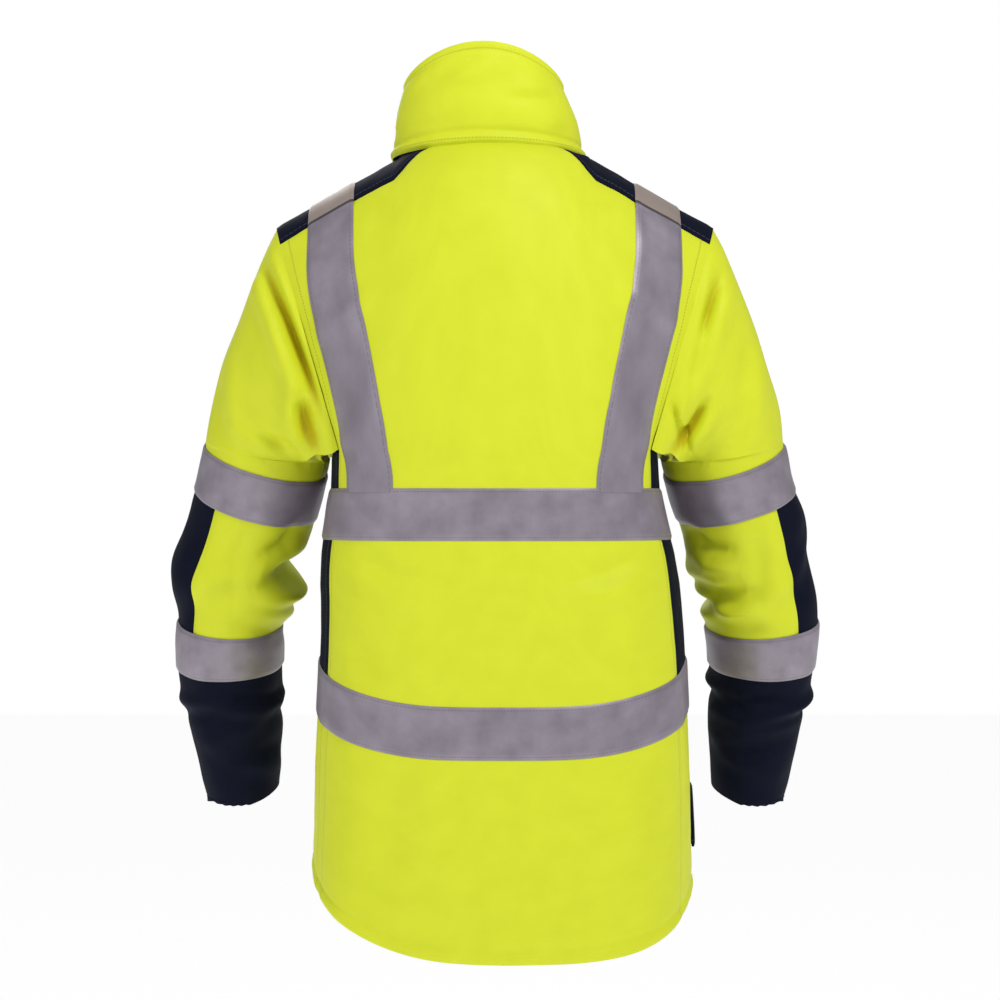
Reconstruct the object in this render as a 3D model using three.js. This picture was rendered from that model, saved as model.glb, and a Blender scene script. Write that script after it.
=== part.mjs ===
// A waist-taped, high-visibility winter coat: shell, lining, reflective tape, zip, pockets and sleeves.
// Millimetres, +Z up. The front of the coat faces -Y, its left side is +X.
// The origin is the middle of the neck opening, at the height of the back neck seam.
import * as THREE from "three";

// Layers
const shellThickness = 2;
const liningThickness = 3;
const tapeThickness = 1;
const layGap = 0.6;
const tapeGap = 1.4;
const liningGap = 5;
const seamGap = 0.5;

// Neck and shoulders
const neckHalfWidth = 92;
const neckBackDepth = 60;
const neckFrontDepth = 103;
const neckSideDrop = 8;
const neckFrontDrop = 60;
const shoulderHalfWidth = 217;
const shoulderSlope = 0.56;
const armpitLevel = -300;
const shoulderRise = 220;
const collarHeight = 101;
const collarFrontHeight = 74;

// Body
const chestHalfWidth = 160;
const chestBackDepth = 140;
const frontSlope = 0.0703;
const sectionPower = 3;
const frontHemLevel = -748;
const tailDrop = 42;
const hemBand = 14;

// Reflective tape
const tapeWidth = 50;
const waistTapeLevel = -362;
const hemTapeRise = ((waistTapeLevel - frontHemLevel) * 213) / 386;
const hemTapeDip = 36;
const braceTopX = shoulderHalfWidth - 57;
const braceLowX = 120;
const braceHalfX = 22;
const braceGap = 2.4;

// Seams, as turns in degrees from the middle of the back
const armTurn = 64;
const neckTurn = 34;
const yokeTurn = 16;
const yokeDepth = 23;

// Sleeves
const sleeveTop = -298;
const sleeveEnd = -655;
const sleeveOut = [70, 90, 110, 115, 109, 104];
const sleeveForward = [-48, -69, -89, -109, -129, -150];
const sleeveHalfWidth = [62, 60, 58, 53, 46, 37];
const sleeveHalfDepth = [64, 61, 58, 52, 46, 42];
const upperTapeTop = -306;
const upperTapeEnd = upperTapeTop - tapeWidth * 0.93;
const upperBandEnd = upperTapeEnd - 5.5;
const forearmTop = -466;
const forearmTapeTop = forearmTop - 8;
const forearmTapeEnd = forearmTapeTop - tapeWidth * 0.9;
const elbowBackTurn = 52;
const elbowFrontTurn = -60;

// Zip
const zipTop = -78;
const zipBottom = frontHemLevel + 13;
const teethHalfWidth = 3;
const zipTapeWidth = 12;
const sliderLength = 16;

// Pockets
const pocketBulge = 6;
const pocketWall = 1.2;
const flapLength = 62;

const yellow = 0xd2e61e;
const navy = 0x14182a;
const reflective = 0x8a8290;
const black = 0x0c0d12;
const metal = 0x8d8f94;

const { clamp, lerp, smoothstep, degToRad } = THREE.MathUtils;
const coat = new THREE.Group();

// ---- Body surface -------------------------------------------------------------------------

// How much wider than the chest the body is, and how much deeper, by height below the armpit.
const bodyFlare = [
  { drop: 0, wider: 0, deeper: 0 },
  { drop: 40, wider: 2, deeper: -3 },
  { drop: 70, wider: 8, deeper: -4 },
  { drop: 100, wider: 14, deeper: -3 },
  { drop: 130, wider: 17, deeper: -1 },
  { drop: 216, wider: 20, deeper: 5 },
  { drop: 400, wider: 26, deeper: 12 },
  { drop: 700, wider: 27, deeper: 13 },
];

function flareAt(level, key) {
  const drop = armpitLevel - level;
  for (let i = 1; i < bodyFlare.length; i += 1) {
    const above = bodyFlare[i - 1];
    const below = bodyFlare[i];
    if (drop <= below.drop) {
      return lerp(above[key], below[key], (drop - above.drop) / (below.drop - above.drop));
    }
  }
  return bodyFlare[bodyFlare.length - 1][key];
}

// The middle of the front is one straight line from neck to hem, so that a slider can run on it.
function frontLine(level) {
  return neckFrontDepth + frontSlope * (-neckFrontDrop - level);
}

function bodyPoint(turn, level) {
  const angle = degToRad(turn);
  const halfWidth = chestHalfWidth + flareAt(level, "wider");
  const depth = Math.cos(angle) < 0 ? frontLine(level) : chestBackDepth + flareAt(level, "deeper");
  const across = Math.pow(Math.abs(Math.sin(angle)) / halfWidth, sectionPower);
  const along = Math.pow(Math.abs(Math.cos(angle)) / depth, sectionPower);
  const reach = Math.pow(across + along, -1 / sectionPower);
  return new THREE.Vector3(reach * Math.sin(angle), reach * Math.cos(angle), level);
}

function fromMiddle(turn) {
  const bare = Math.abs(turn);
  return bare > 90 ? 180 - bare : bare;
}

// The top edge of the body: the neck seam near the middle, then the ridge of the shoulder.
function topEdge(turn) {
  const side = Math.sign(turn) || 1;
  const front = Math.abs(turn) > 90;
  const away = fromMiddle(turn);
  if (away <= neckTurn) {
    const angle = (away / neckTurn) * (Math.PI / 2);
    const depth = front ? -neckFrontDepth : neckBackDepth;
    const middleLevel = front ? -neckFrontDrop : 0;
    const level = lerp(-neckSideDrop, middleLevel, Math.pow(Math.cos(angle), 1.5));
    return new THREE.Vector3(side * neckHalfWidth * Math.sin(angle), depth * Math.cos(angle), level);
  }
  const share = (away - neckTurn) / (armTurn - neckTurn);
  const x = lerp(neckHalfWidth, shoulderHalfWidth, Math.min(share, 1.05));
  return new THREE.Vector3(side * x, 0, -neckSideDrop - shoulderSlope * (x - neckHalfWidth));
}

// A place on the body. Levels are true heights up to the armpit, and above it they run on over
// the chest or the shoulder blade to the top edge, which is reached at shoulderTop.
const shoulderTop = armpitLevel + shoulderRise;

function bodySurface(turnGiven, levelGiven) {
  const turn = turnGiven > 180 ? turnGiven - 360 : turnGiven < -180 ? turnGiven + 360 : turnGiven;
  if (levelGiven <= armpitLevel) {
    return bodyPoint(turn, levelGiven);
  }
  const base = bodyPoint(turn, armpitLevel);
  const top = topEdge(turn);
  const angle = (Math.min(levelGiven - armpitLevel, shoulderRise) / shoulderRise) * (Math.PI / 2);
  const up = Math.sin(angle);
  const rounded = Math.pow(Math.max(Math.cos(angle), 0), 0.8);
  const straight = 1 - up;
  const front = Math.abs(turn) > 90;
  const roundness = front ? smoothstep(fromMiddle(turn), 10, neckTurn) : 1;
  const keep = lerp(straight, rounded, roundness);
  return new THREE.Vector3(
    lerp(base.x, top.x, up),
    top.y + (base.y - top.y) * keep,
    lerp(base.z, top.z, up),
  );
}

function bodyNormal(turn, level) {
  const step = 0.4;
  const high = Math.min(level + step, shoulderTop - 0.2);
  const low = Math.min(level - step, shoulderTop - 1);
  const up = bodySurface(turn, high).sub(bodySurface(turn, low));
  const round = bodySurface(turn + step, level).sub(bodySurface(turn - step, level));
  return up.cross(round).normalize();
}

function onBody(turn, level, outward) {
  return bodySurface(turn, level).addScaledVector(bodyNormal(turn, level), outward);
}

// The turn at which the body is x away from the middle, at one level.
function turnAt(x, level, front) {
  let low = 0;
  let high = 90;
  for (let i = 0; i < 40; i += 1) {
    const middle = (low + high) / 2;
    const found = Math.abs(bodySurface(front ? 180 - middle : middle, level).x);
    if (found < Math.abs(x)) {
      low = middle;
    } else {
      high = middle;
    }
  }
  return front ? 180 - low : low;
}

function hemLevel(turn) {
  const tail = smoothstep(Math.cos(degToRad(turn)), 0, 1);
  return frontHemLevel - tailDrop * tail;
}

function hemTapeLevel(turn) {
  const tail = smoothstep(Math.cos(degToRad(turn)), 0, 1);
  return frontHemLevel + hemTapeRise - hemTapeDip * tail;
}

// How far down from the ridge, in degrees, the edge of the shoulder yoke lies.
function yokeEdgeLevel(turn) {
  const share = clamp((fromMiddle(turn) - yokeTurn) / (armTurn - yokeTurn), 0, 1);
  const down = yokeDepth * smoothstep(share, 0, 0.35);
  return shoulderTop - (down / 90) * shoulderRise;
}

// The rows that every body panel, lining and tape share, so that layers lie flat on each other.
function bodyRows(turn) {
  const halfTape = tapeWidth / 2;
  const waistTop = waistTapeLevel + halfTape;
  const hemTape = hemTapeLevel(turn);
  const hipLevel = (waistTapeLevel + hemTape) / 2;
  const top = yokeEdgeLevel(turn);
  return [
    hemLevel(turn),
    (hemLevel(turn) + hemTape - halfTape) / 2,
    hemTape - halfTape,
    hemTape + halfTape,
    hipLevel,
    waistTapeLevel - halfTape,
    waistTop,
    armpitLevel,
    lerp(armpitLevel, top, 0.27),
    lerp(armpitLevel, top, 0.52),
    lerp(armpitLevel, top, 0.76),
    top,
  ];
}

const rowNames = { hem: 0, hemTapeLow: 2, hemTapeHigh: 3, waistTapeLow: 5, waistTapeHigh: 6, armpit: 7, top: 11 };

// ---- Ways to make a piece -----------------------------------------------------------------

function faceOutwards(geometry) {
  const place = geometry.attributes.position;
  const index = geometry.index.array;
  const a = new THREE.Vector3();
  const b = new THREE.Vector3();
  const c = new THREE.Vector3();
  let volume = 0;
  for (let i = 0; i < index.length; i += 3) {
    a.fromBufferAttribute(place, index[i]);
    b.fromBufferAttribute(place, index[i + 1]);
    c.fromBufferAttribute(place, index[i + 2]);
    volume += a.dot(b.cross(c));
  }
  if (volume < 0) {
    for (let i = 0; i < index.length; i += 3) {
      const kept = index[i + 1];
      index[i + 1] = index[i + 2];
      index[i + 2] = kept;
    }
  }
  geometry.computeVertexNormals();
  return geometry;
}

// A sheet of cloth: a flat box whose columns, rows and two faces are laid where place says.
function sheet(columns, rows, place) {
  const geometry = new THREE.BoxGeometry(1, 1, 1, columns, rows, 1);
  const vertices = geometry.attributes.position;
  for (let i = 0; i < vertices.count; i += 1) {
    const across = vertices.getX(i) + 0.5;
    const along = vertices.getY(i) + 0.5;
    const face = vertices.getZ(i) + 0.5;
    const spot = place(across, along, face);
    vertices.setXYZ(i, spot.x, spot.y, spot.z);
  }
  return faceOutwards(geometry);
}

// A closed tube of cloth: a ring of square section, drawn out along its length.
function tube(segments, rows, place) {
  const profile = [];
  for (let i = 0; i <= rows; i += 1) {
    profile.push({ along: i / rows, face: 0 });
  }
  for (let i = rows; i >= 0; i -= 1) {
    profile.push({ along: i / rows, face: 1 });
  }
  profile.push(profile[0]);
  const outline = profile.map((point) => new THREE.Vector2(1 + point.face, point.along));
  const geometry = new THREE.LatheGeometry(outline, segments);
  const vertices = geometry.attributes.position;
  for (let i = 0; i < vertices.count; i += 1) {
    const point = profile[i % profile.length];
    const turn = (Math.floor(i / profile.length) % segments) / segments;
    const spot = place(turn, point.along, point.face);
    vertices.setXYZ(i, spot.x, spot.y, spot.z);
  }
  return faceOutwards(geometry);
}

function addPiece(name, geometry, color, roughness = 0.85, metalness = 0) {
  const mesh = new THREE.Mesh(geometry, new THREE.MeshStandardMaterial({ color, roughness, metalness }));
  mesh.name = name;
  coat.add(mesh);
  return mesh;
}

// The turn of each column of the back: even across the middle, then in step with the yokes.
function backTurn(across, edge) {
  const column = Math.round(across * backColumns);
  if (column < yokeRows) {
    return lerp(-edge, -yokeTurn, column / yokeRows);
  }
  if (column > yokeRows + middleColumns) {
    return lerp(yokeTurn, edge, (column - yokeRows - middleColumns) / yokeRows);
  }
  return lerp(-yokeTurn, yokeTurn, (column - yokeRows) / middleColumns);
}

// A panel of the body between two shared rows, inset by half a seam at each of them.
function bodyPanel(columns, turnOf, lowRow, highRow, inner, thickness, insets = {}) {
  const inset = { low: seamGap / 2, high: seamGap / 2, ...insets };
  const rows = highRow - lowRow;
  return sheet(columns, rows, (across, along, face) => {
    const turn = turnOf(across);
    const row = Math.round(along * rows);
    let level = bodyRows(turn)[lowRow + row];
    if (row === 0) {
      level += inset.low;
    }
    if (row === rows) {
      level -= inset.high;
    }
    return onBody(turn, level, inner + thickness * face);
  });
}

// ---- Shell --------------------------------------------------------------------------------

const sides = [
  { name: "left", sign: 1 },
  { name: "right", sign: -1 },
];
const sideColumns = 4;
const yokeRows = 5;
const yokeColumns = 4;
const middleColumns = 4;
const backColumns = middleColumns + 2 * yokeRows;
const frontColumns = yokeRows + 1;
const frontEdgeX = teethHalfWidth + zipTapeWidth + 1;

function frontEdgeTurn(level) {
  return turnAt(frontEdgeX, level, true);
}

const seamTurn = 0.1;

function backShellTurn(across) {
  return backTurn(across, armTurn - seamTurn);
}

function addBackPanel() {
  addPiece(
    "back_panel",
    bodyPanel(backColumns, backShellTurn, rowNames.hem, rowNames.top, 0, shellThickness, { high: 1.4 }),
    yellow,
  );
}

// A front panel runs from the side seam to a straight edge beside the zip.
function frontPanel(sign, inner, thickness, lowInset, highInset, edgeX) {
  const rows = rowNames.top;
  return sheet(frontColumns, rows, (across, along, face) => {
    const row = Math.round(along * rows);
    const column = Math.round(across * frontColumns);
    let turn = 180 - lerp(armTurn - seamTurn, yokeTurn, column / yokeRows);
    if (column === frontColumns) {
      turn = turnAt(edgeX, bodyRows(180)[row], true);
    }
    let level = bodyRows(turn)[row];
    if (row === 0) {
      level += lowInset;
    }
    if (row === rows) {
      level -= highInset;
    }
    const sunk = row === 0 || thickness === shellThickness ? 0 : liningGap - tapeGap;
    return onBody(sign * turn, level, inner - sunk + thickness * face);
  });
}

function addFrontPanels() {
  for (const side of sides) {
    addPiece(
      `${side.name}_front_panel`,
      frontPanel(side.sign, 0, shellThickness, seamGap / 2, 1.4, frontEdgeX),
      yellow,
    );
  }
}

function addSidePanels() {
  const from = armTurn + seamTurn;
  for (const side of sides) {
    const sideTurn = (across) => side.sign * lerp(from, 180 - from, across);
    addPiece(
      `${side.name}_side_panel`,
      bodyPanel(sideColumns, sideTurn, rowNames.hemTapeLow, rowNames.armpit, 0, shellThickness, { high: 2 }),
      navy,
    );
    addPiece(
      `${side.name}_side_hem_panel`,
      bodyPanel(sideColumns, sideTurn, rowNames.hem, rowNames.hemTapeLow, 0, shellThickness),
      yellow,
    );
  }
}

// Each yoke is a strip over the shoulder, from its edge on the back to its edge on the front.
// Its inner end follows the neck seam, so it comes to a point at each side of the collar.
function addYokes() {
  for (const side of sides) {
    addPiece(
      `${side.name}_shoulder_yoke`,
      sheet(2 * yokeColumns, yokeRows, (across, along, face) => {
        const front = across > 0.5;
        const share = Math.abs(across - 0.5) * 2;
        const away = lerp(lerp(neckTurn, yokeTurn, share), armTurn - seamTurn, along);
        const edge = yokeEdgeLevel(away);
        const level = lerp(shoulderTop - 0.05, edge, share) - (along === 0 ? 0.8 : 0);
        const turn = front ? 180 - away : away;
        return onBody(side.sign * turn, level, shellThickness * face);
      }),
      navy,
    );
  }
}

// ---- Collar -------------------------------------------------------------------------------

// The collar is open at the front, where the zip ends below it.
const collarOpening = 4;

function collarPoint(turn, along, outward) {
  const neck = topEdge(turn < 90 && turn > -90 ? (turn / 90) * neckTurn : Math.sign(turn) * (180 - ((180 - Math.abs(turn)) / 90) * neckTurn));
  const behind = (neck.y + neckFrontDepth) / (neckBackDepth + neckFrontDepth);
  const height = lerp(collarFrontHeight, collarHeight, behind) - (behind > 0.2 ? 30 * Math.sin(Math.PI * (behind - 0.2) / 0.8) * 0.6 : 0);
  const lean = 1 + 0.03 * Math.sin(Math.PI * along) - 0.05 * along;
  const flat = new THREE.Vector2(neck.x, neck.y);
  const grow = (flat.length() + outward) / flat.length();
  return new THREE.Vector3(flat.x * lean * grow, flat.y * lean * grow, neck.z + 1 + 2 * shellThickness + height * along);
}

function collarRing(inner, thickness, low, high) {
  return sheet(28, 4, (across, along, face) => {
    const turn = lerp(-180 + collarOpening, 180 - collarOpening, across);
    return collarPoint(turn, lerp(low, high, along), inner + thickness * face);
  });
}

function addCollar() {
  addPiece("collar", collarRing(0, shellThickness, 0, 1), yellow);
  addPiece("collar_lining", collarRing(-layGap - liningThickness, liningThickness, 0.02, 0.97), navy);
}

// A narrow strip inside the back of the neck, standing off the lining so that a peg goes through.
function addHangLoop() {
  const halfWidth = 35;
  const standOff = 9;
  const inner = -layGap - liningThickness;
  addPiece(
    "hang_loop",
    sheet(12, 1, (across, along, face) => {
      const turn = lerp(-halfWidth, halfWidth, across);
      const bow = standOff * Math.sin(Math.PI * across);
      const spot = collarPoint(turn, 0.2 + 0.08 * along, inner - layGap - 1.5 * face - bow);
      return spot;
    }),
    black,
  );
}

// ---- Lining -------------------------------------------------------------------------------

function addLinings() {
  const rows = rowNames.top - 1;
  addPiece(
    "back_lining",
    sheet(backColumns, rows, (across, along, face) => {
      const turn = backTurn(across, armTurn - 1);
      const row = Math.round(along * rows);
      const level = bodyRows(turn)[row] + (row === 0 ? hemBand + 4 : 0);
      const gap = row === 0 ? layGap + seamGap : liningGap;
      return onBody(turn, level, -gap - liningThickness * (1 - face));
    }),
    navy,
  );
  for (const side of sides) {
    addPiece(
      `${side.name}_front_lining`,
      frontPanel(side.sign, -layGap - liningThickness, liningThickness, hemBand + 4, 6, frontEdgeX + 6),
      navy,
    );
  }
}

// ---- Hem ----------------------------------------------------------------------------------

// The turned hem: a narrow band inside the bottom edge of the back.
function addHemFacing() {
  const thickness = 1.5;
  addPiece(
    "back_hem_facing",
    sheet(backColumns, 1, (across, along, face) => {
      const turn = backTurn(across, armTurn - 1);
      return onBody(turn, hemLevel(turn) + 1 + hemBand * along, -layGap - seamGap / 4 - thickness * (1 - face));
    }),
    yellow,
  );
}

// ---- Reflective tape ----------------------------------------------------------------------

function addBodyTapes() {
  const inner = shellThickness + tapeGap;
  const bands = [
    { name: "waist_tape", low: rowNames.waistTapeLow, high: rowNames.waistTapeHigh },
    { name: "hem_tape", low: rowNames.hemTapeLow, high: rowNames.hemTapeHigh },
  ];
  for (const band of bands) {
    addPiece(
      `${band.name}_back`,
      bodyPanel(backColumns, backShellTurn, band.low, band.high, inner, tapeThickness),
      reflective,
      0.4,
      0.3,
    );
    const columns = sideColumns + frontColumns;
    const turnOf = (across) => {
      const column = Math.round(across * columns);
      if (column <= sideColumns) {
        return lerp(armTurn + seamTurn, 180 - armTurn, column / sideColumns);
      }
      if (column === columns) {
        return turnAt(frontEdgeX, bodyRows(180)[band.low], true);
      }
      return 180 - lerp(armTurn, yokeTurn, (column - sideColumns) / yokeRows);
    };
    for (const side of sides) {
      addPiece(
        `${side.name}_${band.name}_front`,
        bodyPanel(
          columns,
          (across) => side.sign * turnOf(across),
          band.low,
          band.high,
          inner,
          tapeThickness,
        ),
        reflective,
        0.4,
        0.3,
      );
    }
  }
}

// The middle of a brace tape leans in from the shoulder to the waist.
function braceX(level) {
  const waistTop = waistTapeLevel + tapeWidth / 2;
  const share = clamp((level - waistTop) / (shoulderTop - waistTop), 0, 1);
  return lerp(braceLowX, braceTopX, smoothstep(share, 0.02, 0.62));
}

// Each brace tape runs from the waist tape up the back, over the yoke and down the front.
function addBraceTapes() {
  const inner = shellThickness + braceGap;
  const levels = bodyRows(armTurn).slice(rowNames.waistTapeHigh);
  levels[0] += seamGap;
  for (let i = 1; i <= yokeColumns; i += 1) {
    levels.push(lerp(levels[rowNames.top - rowNames.waistTapeHigh], shoulderTop - 0.05, i / yokeColumns));
  }
  const count = levels.length - 1;
  for (const side of sides) {
    addPiece(
      `${side.name}_brace_tape`,
      sheet(3, count * 2, (across, along, face) => {
        const step = Math.round(along * count * 2);
        const front = step > count;
        const level = levels[front ? 2 * count - step : step];
        const x = braceX(level) + braceHalfX * (2 * across - 1);
        const turn = turnAt(x, level, front);
        return onBody(side.sign * turn, level, inner + tapeThickness * face);
      }),
      reflective,
      0.4,
      0.3,
    );
  }
}

// ---- Zip ----------------------------------------------------------------------------------

// The zip lies along the straight middle line of the front.
function onZip(x, level, outward) {
  return new THREE.Vector3(x, -frontLine(level) - outward, level);
}

function zipStrip(fromX, toX, low, high, inner, outer, rows = 1) {
  return sheet(1, rows, (across, along, face) =>
    onZip(lerp(fromX, toX, across), lerp(low, high, along), lerp(inner, outer, face)));
}

function addZip() {
  for (const side of sides) {
    const near = side.sign * (teethHalfWidth + seamGap);
    const far = side.sign * (teethHalfWidth + zipTapeWidth);
    addPiece(`${side.name}_zip_tape`, zipStrip(near, far, zipBottom + 8, zipTop, 0.2, 1.4), black);
  }
  addPiece(
    "zip_teeth",
    zipStrip(-teethHalfWidth, teethHalfWidth, zipBottom + 8, zipTop - 1, 0, 2.6),
    metal,
    0.4,
    0.8,
  );
  addPiece("zip_box", zipStrip(-5, 5, zipBottom - 6, zipBottom + 7.4, -0.4, 3.2), metal, 0.4, 0.8);
}

const sliderLevel = zipTop - 4;
const sliderInner = 3;
const sliderOuter = 6.5;

function addSlider() {
  addPiece(
    "zip_slider",
    zipStrip(-6, 6, sliderLevel - sliderLength, sliderLevel, sliderInner, sliderOuter),
    metal,
    0.35,
    0.9,
  );
  addPiece(
    "zip_puller",
    zipStrip(-4, 4, sliderLevel - sliderLength - 34, sliderLevel - 5, sliderOuter + 0.4, sliderOuter + 2),
    metal,
    0.35,
    0.9,
  );
}

// The wind guard is a strip of cloth behind the zip.
function addWindGuard() {
  const halfWidth = frontEdgeX - 1.5;
  addPiece("wind_guard", zipStrip(-halfWidth, halfWidth, zipBottom + 8, zipTop - 4, -2.4, -0.6), navy);
}

// ---- Pockets ------------------------------------------------------------------------------

const hipPocket = { innerX: 62, outerX: 170, top: frontHemLevel + 100, bottom: frontHemLevel + 12 };
const flapOverlap = 6;

function pocketTurn(share, level) {
  const inner = turnAt(hipPocket.innerX, level, true);
  const outer = turnAt(hipPocket.outerX, level, true);
  return lerp(inner, outer, share);
}

function addPocket(side) {
  const inner = shellThickness + tapeGap;
  addPiece(
    `${side.name}_hip_pocket`,
    sheet(6, 4, (across, along, face) => {
      const level = lerp(hipPocket.bottom, hipPocket.top, along);
      const rise = pocketBulge * Math.sin(Math.PI * across) * Math.sin((Math.PI / 2) * along);
      return onBody(side.sign * pocketTurn(across, level), level, inner + rise + pocketWall * face);
    }),
    yellow,
  );
}

// The flap is sewn above the pocket's mouth and hangs over it.
function addPocketFlap(side) {
  const inner = shellThickness + tapeGap;
  const flapTop = hipPocket.top + 17;
  const stops = [0, 0.4, 0.79, 1];
  const shareBeyond = flapOverlap / (hipPocket.outerX - hipPocket.innerX);
  addPiece(
    `${side.name}_hip_pocket_flap`,
    sheet(6, stops.length - 1, (across, along, face) => {
      const share = lerp(-shareBeyond, 1 + shareBeyond, across);
      const row = Math.round(along * (stops.length - 1));
      const level = lerp(flapTop - flapLength, flapTop, stops[row]);
      const off = row === stops.length - 1 ? 0 : pocketBulge + pocketWall + layGap;
      return onBody(side.sign * pocketTurn(share, level), level, inner + off + pocketWall * face);
    }),
    navy,
  );
}

function addPockets() {
  for (const side of sides) {
    addPocket(side);
    addPocketFlap(side);
  }
}

// ---- Sleeves ------------------------------------------------------------------------------

const sleeveSteps = sleeveOut.length - 1;
const sleeveLine = new THREE.CatmullRomCurve3(
  sleeveOut.map((out, i) =>
    new THREE.Vector3(chestHalfWidth + out, sleeveForward[i], lerp(sleeveTop, sleeveEnd, i / sleeveSteps))),
  false,
  "catmullrom",
);
const sleeveGirth = new THREE.CatmullRomCurve3(
  sleeveHalfWidth.map((half, i) => new THREE.Vector3(half, sleeveHalfDepth[i], i)),
  false,
  "catmullrom",
);

// A place on a sleeve: theta is 0 on the outside of the arm, 90 at the back and 180 at the body.
function onSleeve(theta, level, outward) {
  const share = (level - sleeveTop) / (sleeveEnd - sleeveTop);
  const middle = sleeveLine.getPoint(clamp(share, 0, 1));
  const axis = sleeveLine.getTangent(clamp(share, 0, 1));
  const girth = sleeveGirth.getPoint(clamp(share, 0, 1));
  const outwards = new THREE.Vector3(1, 0, 0).addScaledVector(axis, -axis.x).normalize();
  const backwards = outwards.clone().cross(axis);
  const angle = degToRad(theta);
  return middle
    .addScaledVector(outwards, (girth.x + outward) * Math.cos(angle))
    .addScaledVector(backwards, (girth.y + outward) * Math.sin(angle));
}

function toSide(point, sign) {
  point.x *= sign;
  return point;
}

function sleeveTube(sign, from, to, inner, thickness, rows) {
  return tube(16, rows, (turn, along, face) =>
    toSide(onSleeve(turn * 360, lerp(from, to, along), inner + thickness * face), sign));
}

// The armhole, met by the sleeve head: over the shoulder, down both panels and under the arm.
function armhole(theta, outward) {
  const bare = theta > 180 ? 360 - theta : theta;
  const front = theta > 180;
  const holeTurn = armTurn + 0.7;
  const bottomStart = 124;
  let turn;
  let level;
  if (bare <= bottomStart) {
    turn = holeTurn;
    level = shoulderTop - (bare / bottomStart) * (shoulderRise - 1);
  } else {
    turn = lerp(holeTurn, 90, (bare - bottomStart) / (180 - bottomStart));
    level = armpitLevel + 1;
  }
  return onBody(front ? 180 - turn : turn, Math.min(level, shoulderTop - 0.05), outward);
}

function sleeveHead(sign) {
  return tube(24, 6, (turn, along, face) => {
    const theta = turn * 360;
    const start = armhole(theta, shellThickness * face);
    const end = onSleeve(theta, sleeveTop, shellThickness * face);
    end.z += seamGap;
    const over = Math.pow(Math.cos(degToRad(theta) / 2), 2);
    const reach = start.distanceTo(end) * 0.42;
    const leaving = new THREE.Vector3(0.8, -0.25 * (1 - over), lerp(-0.05, -0.6, over)).normalize();
    const arriving = sleeveLine.getTangent(0);
    const bend = new THREE.CubicBezierCurve3(
      start,
      start.clone().addScaledVector(leaving, reach),
      end.clone().addScaledVector(arriving, -reach * lerp(0.1, 1, over)),
      end,
    );
    return toSide(bend.getPoint(along), sign);
  });
}

function elbowPanel(sign, fromTheta, toTheta, columns) {
  return sheet(columns, 4, (across, along, face) =>
    toSide(
      onSleeve(
        lerp(fromTheta, toTheta, across),
        lerp(upperBandEnd - seamGap, forearmTop + seamGap, along),
        shellThickness * face,
      ),
      sign,
    ));
}

function cuffTab(sign) {
  return sheet(6, 1, (across, along, face) =>
    toSide(
      onSleeve(lerp(225, 300, across), lerp(-632, -604, along), shellThickness + layGap + 1.8 * face),
      sign,
    ));
}

function addSleeve(side) {
  const tapeInner = shellThickness + layGap;
  addPiece(`${side.name}_sleeve_head`, sleeveHead(side.sign), yellow);
  addPiece(
    `${side.name}_upper_sleeve`,
    sleeveTube(side.sign, sleeveTop, upperBandEnd, 0, shellThickness, 2),
    yellow,
  );
  addPiece(
    `${side.name}_upper_sleeve_tape`,
    sleeveTube(side.sign, upperTapeTop, upperTapeEnd, tapeInner, tapeThickness, 1),
    reflective,
    0.4,
    0.3,
  );
  addPiece(
    `${side.name}_elbow_outer_panel`,
    elbowPanel(side.sign, elbowFrontTurn, elbowBackTurn, 6),
    navy,
  );
  addPiece(
    `${side.name}_elbow_inner_panel`,
    elbowPanel(side.sign, elbowBackTurn + 0.5, 360 + elbowFrontTurn - 0.5, 12),
    yellow,
  );
  addPiece(
    `${side.name}_forearm`,
    sleeveTube(side.sign, forearmTop, sleeveEnd + 5, 0, shellThickness, 4),
    navy,
  );
  addPiece(
    `${side.name}_forearm_tape`,
    sleeveTube(side.sign, forearmTapeTop, forearmTapeEnd, tapeInner, tapeThickness, 1),
    reflective,
    0.4,
    0.3,
  );
  addPiece(
    `${side.name}_inner_cuff`,
    sleeveTube(side.sign, -598, sleeveEnd + 3, -layGap - liningThickness, liningThickness, 2),
    black,
  );
  addPiece(`${side.name}_cuff_tab`, cuffTab(side.sign), navy);
}

addBackPanel();
addFrontPanels();
addSidePanels();
addYokes();
addCollar();
addHangLoop();
addLinings();
addHemFacing();
addBodyTapes();
addBraceTapes();
addZip();
addSlider();
addWindGuard();
addPockets();
sides.forEach(addSleeve);

export default coat;
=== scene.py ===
import math
import bpy
import bmesh
import numpy as np
from mathutils import Matrix, Vector


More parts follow.
